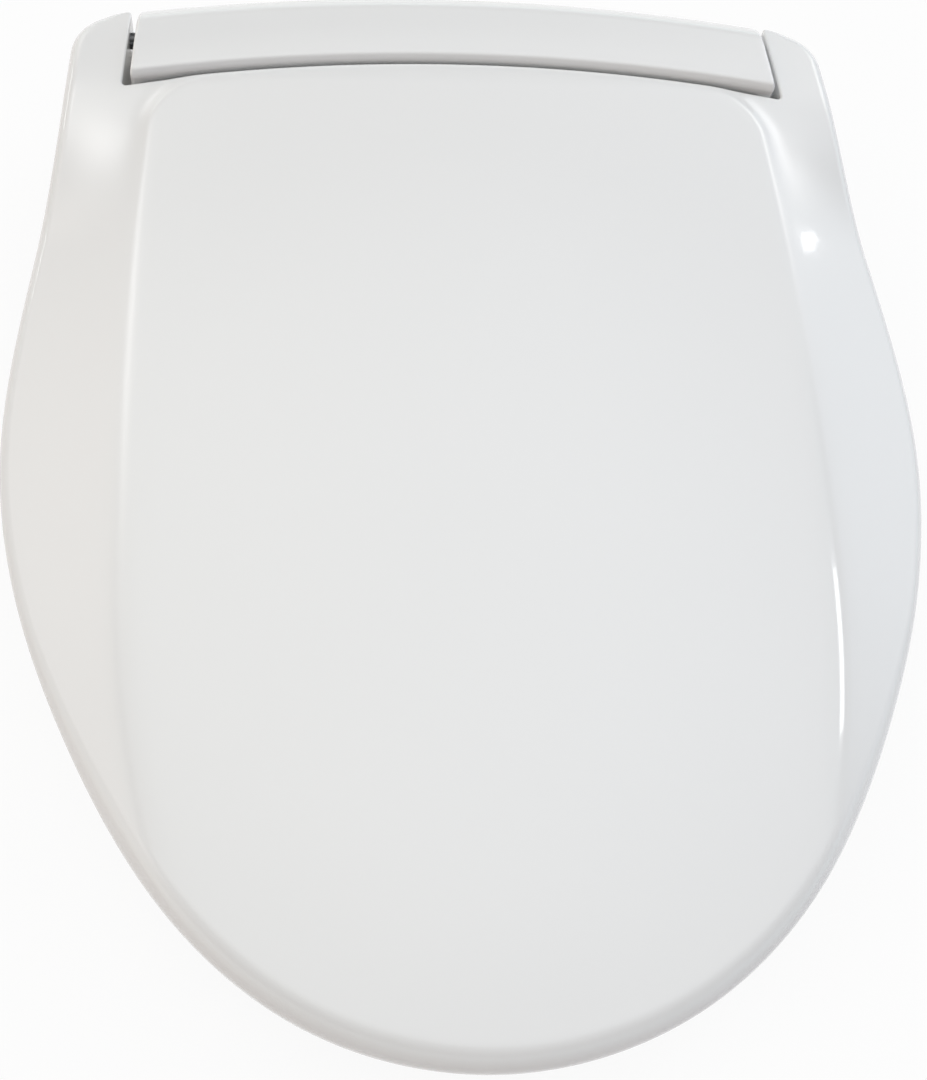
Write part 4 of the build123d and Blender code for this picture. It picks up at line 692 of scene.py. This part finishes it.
# The release latch is a pale button in the right side of the case. A coil of spring wire between it and the
# case pushes it back out.
button_white = plastic("button_grey_white", (0.62, 0.63, 0.64), 0.3, rub=0.06, ripple=0.08)
dress("release_latch", button_white)
spring_wire = plastic("spring_wire", (0.66, 0.65, 0.63), 0.25, rub=0.06, metallic=1.0)


def coil(start, ahead, length, radius, wire, turns):
    """Helix of round wire: circles of the wire's radius carried along a helix about the line ahead."""
    start = np.array(start, float)
    ahead = np.array(ahead, float) / np.linalg.norm(ahead)
    side = np.cross(ahead, (0.0, 0.0, 1.0))
    side = side / np.linalg.norm(side)
    over = np.cross(ahead, side)
    turn = np.linspace(0, 2 * np.pi * turns, int(turns * 40) + 1)[:, None]
    out = np.cos(turn) * side + np.sin(turn) * over
    spine = start + out * radius + ahead * length * turn / turn[-1]
    around = np.linspace(0, 2 * np.pi, 10, endpoint=False)[None, :, None]
    tube = spine[:, None] + wire * (np.cos(around) * out[:, None] + np.sin(around) * ahead)
    return np.concatenate([np.repeat(spine[:1, None], 10, 1), tube, np.repeat(spine[-1:, None], 10, 1)])


latch_wire = coil((138.3, 10.0, 8.5), (1, 0, 0), length=15.0, radius=3.4, wire=0.38, turns=4)
latch_spring = grid_piece("latch_coil", latch_wire, spring_wire)
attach(latch_spring, "base")
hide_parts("latch_spring")
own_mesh(latch_spring)

# Two round push buttons in pale grey plastic on the right shoulder, each with a dished face for the finger
# and a flange behind the wall. A small board of switches stands behind them.


def pointed(points, origin, ahead):
    """Turns local points so that their Z lies along the line ahead, and moves them to the origin."""
    ahead = np.array(ahead, float) / np.linalg.norm(ahead)
    side = np.cross((0.0, 0.0, 1.0), ahead)
    side = side / np.linalg.norm(side)
    return points @ np.stack([side, np.cross(ahead, side), ahead]) + np.array(origin)


dish_radius = 4.1
dish_depth = 0.55
face = 7.75
button_profile = [(0, 0), (6.6, 0), (6.6, 2.0), (5, 2.0)]
button_profile += [(5, 7.05), (4.8, 7.45), (4.4, 7.72), (dish_radius, face)]
for radius in np.linspace(0, dish_radius, 9)[-2::-1]:
    button_profile.append((radius, face - dish_depth * (1 - (radius / dish_radius) ** 2)))
for name, y in (("power_button", -8.0), ("wash_button", 8.0)):
    cap = pointed(turned(button_profile), (152.25, y, 26.0), (1, 0, 0))
    button = grid_piece(f"{name}_cap", cap, button_white)
    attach(button, name)
    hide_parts(name)

board_green = plastic("board_green", (0.03, 0.16, 0.07), 0.35, rub=0.1, ripple=0.2, drift=0.25)
dress("button_board", board_green)
dress("control_board", board_green)

# The hinge on each side has a sealed rotary damper in black plastic, inside the cover, and a shaft of
# blackened steel with a flat. The left shaft turns with the seat and the right one with the lid.
damper_black = plastic("damper_black", (0.03, 0.03, 0.032), 0.42, rub=0.1, ripple=0.2, drift=0.2)
shaft_steel = plastic("blackened_steel", (0.10, 0.10, 0.105), 0.3, rub=0.06, ripple=0.05, metallic=1.0)
for name in ("left", "right"):
    dress(f"hinge_damper_{name}", damper_black)
for name in ("seat_hinge_shaft", "lid_hinge_shaft"):
    dress(name, shaft_steel)

# The nozzle unit: a double cylinder with a guide bush in each mouth, and in each bore a nozzle with a rubber
# seal on its piston, a grey tip with spray holes, and a coil that brings the nozzle back.
nozzle_white = plastic("nozzle_white", (0.74, 0.76, 0.78), 0.16, rub=0.05)
tip_grey = plastic("tip_grey", (0.34, 0.37, 0.41), 0.28, rub=0.06, ripple=0.06)
seal_black = plastic("seal_black", (0.025, 0.025, 0.025), 0.6, rub=0.1, ripple=0.2)
natural = plastic("natural_plastic", (0.60, 0.60, 0.57), 0.42, rub=0.1, ripple=0.15, drift=0.06)
dress("nozzle_cylinders", natural)
dress("nozzle_bushes", tip_grey)
coil_setback = 22.75
tilt = np.radians(14.0)
nozzle_ahead = np.array([0, np.cos(tilt), np.sin(tilt)])
for name, x in (("rear", -10.0), ("front", 10.0)):
    dress(f"{name}_wash_nozzle", nozzle_white)
    dress(f"{name}_spray_tip", tip_grey)
    dress(f"{name}_piston_seal", seal_black)
    coil_start = np.array([x, -107.0, 11.0]) + nozzle_ahead * coil_setback
    return_wire = coil(coil_start, nozzle_ahead, length=91.0, radius=5.675, wire=0.45, turns=9)
    spring = grid_piece(f"{name}_return_coil", return_wire, spring_wire)
    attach(spring, "base")
    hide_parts(f"{name}_return_spring")
    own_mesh(spring)

# The water path: a plated inlet with a half-inch thread on the left, a strainer, the solenoid valve, the
# heater tank, the diverter, and the milky pipes between their barbs.
inlet_metal = plastic("inlet_plated_brass", (0.62, 0.60, 0.56), 0.2, rub=0.06, ripple=0.05, metallic=1.0)


def threaded(count=72):
    """Inlet along Z: flange, then a thread, then its mouth and bore.

    The thread's radius is a triangle wave of the height in pitches less the share of a turn, and fades out
    at both ends."""
    pitch = 1.814
    crest = 10.48
    thread_depth = 1.1
    bore = 6.5
    low, high, inside = 4.0, 18.0, -16.5
    start = low + 0.8
    end = high - 0.8
    height = np.linspace(start, end, 90)[:, None]
    angle = np.linspace(0, 2 * np.pi, count, endpoint=False)[None]
    wave = np.abs(((height / pitch - angle / (2 * np.pi)) % 1) * 2 - 1)
    fade = np.minimum(1, np.minimum(height - start, end - height) / 1.2)
    radius = crest - thread_depth * (1 - fade * (1 - wave))
    rise = np.broadcast_to(height, radius.shape)
    thread = np.stack([radius * np.cos(angle), radius * np.sin(angle), rise], -1)
    shank = [(bore, inside), (8.7, inside), (8.7, 0)]
    flange = [(13.1, 0), (13.5, 0.4), (13.5, 3.5), (13.0, low), (crest - thread_depth, low)]
    mouth = [(9.0, high), (6.9, high), (bore, high - 0.4), (bore, inside)]
    return np.concatenate([turned(shank + flange, count), thread, turned(mouth, count)])


inlet_points = pointed(threaded(), (-148.0, 8.0, 20.0), (-1, 0, 0))
inlet = grid_piece("threaded_inlet", inlet_points, inlet_metal, sharp=35)
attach(inlet, "base")
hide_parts("water_inlet")
for name in ("inlet_filter", "inlet_valve", "water_heater", "diverter_valve"):
    dress(name, natural)
pipe_milky = plastic("pipe_milky", (0.66, 0.66, 0.63), 0.35, rub=0.08, ripple=0.1)
for name in ("inlet_pipe", "heater_pipe", "rear_wash_pipe", "front_wash_pipe"):
    dress(name, pipe_milky)

# The cord's gland is a bush of soft black plastic, pushed into the rear wall of the case. Its bore is
# moulded to grip the lead.
dress("cord_gland", seal_black)

# A plain white studio floor, wide enough to fill every view. To the camera and in reflections it is
# white paper, with the seat's soft shadow kept as a share of its own shading.
floor_half = 40000.0
floor_z = -0.3
paper_white = 0.92
floor_x, floor_y = np.meshgrid([-floor_half, floor_half], [-floor_half, floor_half])
floor_spot = np.stack([floor_x, floor_y, np.full((2, 2), floor_z)], -1)


def seen_ray(nodes, links):
    """One for rays from the camera, off a gloss or through a clear body, and nought for all others."""
    path = nodes.new("ShaderNodeLightPath")
    seen = path.outputs["Is Camera Ray"]
    for kind in ("Is Glossy Ray", "Is Transmission Ray"):
        either = nodes.new("ShaderNodeMath")
        either.operation = "MAXIMUM"
        links.new(seen, either.inputs[0])
        links.new(path.outputs[kind], either.inputs[1])
        seen = either.outputs[0]
    return seen


paper = bpy.data.materials.new("white_paper")
paper.use_nodes = True
paper_nodes, paper_links = paper.node_tree.nodes, paper.node_tree.links
paper_surface = paper_nodes["Principled BSDF"]
paper_surface.inputs["Base Color"].default_value = (0.82, 0.82, 0.82, 1)
paper_surface.inputs["Roughness"].default_value = 0.9
paper_surface.inputs["Specular IOR Level"].default_value = 0.0
paper_glow = paper_nodes.new("ShaderNodeEmission")
paper_glow.inputs["Strength"].default_value = 1.0
paper_mix = paper_nodes.new("ShaderNodeMixShader")
paper_share = paper_nodes.new("ShaderNodeMath")
paper_share.operation = "MULTIPLY"
paper_share.inputs[1].default_value = paper_white
paper_links.new(seen_ray(paper_nodes, paper_links), paper_share.inputs[0])
paper_links.new(paper_share.outputs[0], paper_mix.inputs["Fac"])
paper_links.new(paper_surface.outputs["BSDF"], paper_mix.inputs[1])
paper_links.new(paper_glow.outputs["Emission"], paper_mix.inputs[2])
paper_links.new(paper_mix.outputs["Shader"], paper_nodes["Material Output"].inputs["Surface"])
floor = grid_piece("studio_floor", floor_spot, paper, wrap_columns=False)

# A soft room: bright overhead, dim half way up, white at the horizon behind the seat, and overhead a
# little warm on the left and cool on the right. Glows stand for its windows, and strips give sharp glints.
world = bpy.data.worlds.new("white_room")
bpy.context.scene.world = world
world.use_nodes = True
sky_nodes, sky_links = world.node_tree.nodes, world.node_tree.links
sky_place = sky_nodes.new("ShaderNodeTexCoord")
sky_height = sky_nodes.new("ShaderNodeVectorMath")
sky_height.operation = "DOT_PRODUCT"
sky_height.inputs[1].default_value = (0.10, 0.20, 0.975)
sky_split = sky_nodes.new("ShaderNodeSeparateXYZ")
sky_links.new(sky_place.outputs["Generated"], sky_height.inputs[0])
sky_links.new(sky_place.outputs["Generated"], sky_split.inputs[0])


def sky_ramp(height, stops):
    """Colour ramp over a height from 0 to 1, eased between stops of a place and a colour."""
    ramp = sky_nodes.new("ShaderNodeValToRGB")
    ramp.color_ramp.interpolation = "EASE"
    ramp.color_ramp.elements.remove(ramp.color_ramp.elements[1])
    ramp.color_ramp.elements[0].position = stops[0][0]
    ramp.color_ramp.elements[0].color = (*stops[0][1], 1)
    for place, colour in stops[1:]:
        ramp.color_ramp.elements.new(place).color = (*colour, 1)
    sky_links.new(height, ramp.inputs["Fac"])
    return ramp.outputs["Color"]


def sky_step(operation, first, second):
    """Vector sum, product or multiple of two sky colours, or of a colour and a number."""
    step = sky_nodes.new("ShaderNodeVectorMath")
    step.operation = operation
    sky_links.new(first, step.inputs[0])
    if operation == "SCALE":
        step.inputs["Scale"].default_value = second
    else:
        sky_links.new(second, step.inputs[1])
    return step.outputs[0]


sky_across = sky_nodes.new("ShaderNodeMapRange")
sky_across.inputs["From Min"].default_value = -0.45
sky_across.inputs["From Max"].default_value = 0.65
sky_links.new(sky_split.outputs["X"], sky_across.inputs["Value"])
sky_side = sky_ramp(sky_across.outputs["Result"], [(0.0, (1.0, 0.96, 0.84)), (1.0, (0.76, 0.86, 1.0))])
overhead = [(0.0, (0.16, 0.11, 0.10))]
overhead += [(place, (level,) * 3) for place, level in ((0.6, 0.13), (0.8, 0.22), (0.93, 0.6), (1.0, 1.0))]
sky_over = sky_ramp(sky_height.outputs["Value"], overhead)
sky_low = sky_ramp(sky_height.outputs["Value"], [(0.3, (0.66, 0.8, 0.82)), (0.5, (0, 0, 0))])
sky_seen = sky_step("MULTIPLY", sky_low, seen_ray(sky_nodes, sky_links))
room_level = 2.1
sky_room = sky_step("SCALE", sky_step("MULTIPLY", sky_over, sky_side), room_level)
sky_colour = sky_step("ADD", sky_seen, sky_room)


def sky_glow():
    """Node group for a soft patch of sky: its colour times the cosine from its middle, to a power."""
    group = bpy.data.node_groups.new("sky_glow", "ShaderNodeTree")
    kinds = [("Under", "Color"), ("Direction", "Vector"), ("Middle", "Vector")]
    kinds += [("Tightness", "Float"), ("Colour", "Color")]
    for name, kind in kinds:
        group.interface.new_socket(name, in_out="INPUT", socket_type=f"NodeSocket{kind}")
    group.interface.new_socket("Colour", in_out="OUTPUT", socket_type="NodeSocketColor")
    taken = group.nodes.new("NodeGroupInput")
    given = group.nodes.new("NodeGroupOutput")
    cosine = group.nodes.new("ShaderNodeVectorMath")
    cosine.operation = "DOT_PRODUCT"
    ahead = group.nodes.new("ShaderNodeMath")
    ahead.operation = "MAXIMUM"
    ahead.inputs[1].default_value = 0.0
    narrowed = group.nodes.new("ShaderNodeMath")
    narrowed.operation = "POWER"
    patch = group.nodes.new("ShaderNodeVectorMath")
    patch.operation = "SCALE"
    summed = group.nodes.new("ShaderNodeVectorMath")
    group.links.new(taken.outputs["Direction"], cosine.inputs[0])
    group.links.new(taken.outputs["Middle"], cosine.inputs[1])
    group.links.new(cosine.outputs["Value"], ahead.inputs[0])
    group.links.new(ahead.outputs[0], narrowed.inputs[0])
    group.links.new(taken.outputs["Tightness"], narrowed.inputs[1])
    group.links.new(taken.outputs["Colour"], patch.inputs[0])
    group.links.new(narrowed.outputs[0], patch.inputs["Scale"])
    group.links.new(taken.outputs["Under"], summed.inputs[0])
    group.links.new(patch.outputs[0], summed.inputs[1])
    group.links.new(summed.outputs[0], given.inputs["Colour"])
    return group


warm = (1.0, 0.97, 0.93)
plain = (1.0, 1.0, 1.0)
cool = (0.90, 0.95, 1.0)
# Each glow is given by the direction of its middle, its tightness, its level and its tint.
glows = [
    ((-0.70, 0.36, 0.62), 40.0, 1.2, warm),
    ((-0.71, 0.08, 0.70), 40.0, 1.0, warm),
    ((-0.66, -0.20, 0.72), 40.0, 1.0, warm),
    ((-0.88, -0.40, 0.25), 12.0, 0.6, warm),
    ((-0.42, 0.78, 0.46), 80.0, 1.8, plain),
    ((0.60, 0.70, 0.40), 60.0, 2.0, plain),
    ((-0.36, 0.42, 0.83), 70.0, 2.6, plain),
    ((0.79, 0.47, 0.40), 40.0, 0.75, cool),
    ((0.85, 0.31, 0.43), 40.0, 0.75, cool),
    ((0.87, 0.08, 0.49), 40.0, 0.8, cool),
    ((0.59, 0.55, 0.59), 75.0, 2.8, plain),
    ((0.38, 0.66, 0.65), 40.0, 0.6, cool),
]
glow_group = sky_glow()
for middle, tightness, level, tint in glows:
    glow = sky_nodes.new("ShaderNodeGroup")
    glow.node_tree = glow_group
    glow.inputs["Middle"].default_value = np.array(middle) / np.linalg.norm(middle)
    glow.inputs["Tightness"].default_value = tightness
    glow.inputs["Colour"].default_value = (*(level * np.array(tint)), 1)
    sky_links.new(sky_place.outputs["Generated"], glow.inputs["Direction"])
    sky_links.new(sky_colour, glow.inputs["Under"])
    sky_colour = glow.outputs["Colour"]
sky_links.new(sky_colour, sky_nodes["Background"].inputs["Color"])
sky_nodes["Background"].inputs["Strength"].default_value = 1.0


def stand(across, over, back, place):
    """Matrix of an object at a place in millimetres, with its X, Y and Z along three directions."""
    columns = np.column_stack([across, over, back, np.array(place, float) * 0.001])
    return Matrix([*columns.tolist(), [0, 0, 0, 1]])


def soft_lamp(name, place, aim, width, height, power):
    """White area lamp at a place, its back turned away from the point that it aims at; in millimetres."""
    light = bpy.data.lights.new(name, "AREA")
    light.shape = "RECTANGLE"
    light.size = width * 0.001
    light.size_y = height * 0.001
    light.energy = power
    light.color = plain
    lamp = bpy.data.objects.new(name, light)
    bpy.context.scene.collection.objects.link(lamp)
    back = np.array(place, float) - np.array(aim, float)
    back = back / np.linalg.norm(back)
    across = np.cross((0.0, 1.0, 0.001), back)
    across = across / np.linalg.norm(across)
    lamp.matrix_world = stand(across, np.cross(back, across), back, place)


soft_lamp("strip_left", (-1552, 1006, 588), (-166, -20, 66), width=100, height=500, power=1.0)
soft_lamp("strip_right", (1036, -42, 1378), (140, -250, 66), width=180, height=300, power=1.0)
soft_lamp("pane_right", (1527, 780, 826), (141, -75, 71), width=30, height=70, power=0.04)

# The camera stands nearly over the seat, in front of its middle and a little to the left, as it was held for
# the photograph. Its angles, aim, lens and shift were fitted to the seat's outline there.
photo_height = 1080.0
outline_pixels = 924.0
outline_width = 380.0
fitted_scale = 1.032
camera_distance = 647.8
camera_pitch, camera_side, camera_roll = np.radians([19.888, 8.073, -3.511])
camera_aim = np.array([0.247, -194.551, 60.0])
side_share = np.array([-np.sin(camera_side), 0.0, np.cos(camera_side)])
camera_back = side_share * np.cos(camera_pitch) + np.array([0.0, -np.sin(camera_pitch), 0.0])
camera_back = camera_back / np.linalg.norm(camera_back)
level_up = np.array([0.0, 1.0, 0.0]) - camera_back * camera_back[1]
level_up = level_up / np.linalg.norm(level_up)
level_right = np.cross(level_up, camera_back)
turned_right = np.cos(camera_roll) * level_right + np.sin(camera_roll) * level_up
turned_up = np.cos(camera_roll) * level_up - np.sin(camera_roll) * level_right
pixels_per_mm = fitted_scale * outline_pixels / outline_width
lens = bpy.data.cameras.new("photo_camera")
lens.sensor_width = 36.0
lens.lens = pixels_per_mm * camera_distance * lens.sensor_width / photo_height
lens.shift_x = -19.92 / photo_height
lens.shift_y = -23.741 / photo_height
camera = bpy.data.objects.new("photo_camera", lens)
bpy.context.scene.collection.objects.link(camera)
camera.matrix_world = stand(turned_right, turned_up, camera_back, camera_aim + camera_back * camera_distance)
bpy.context.scene.camera = camera
bpy.context.scene.view_settings.view_transform = "Standard"
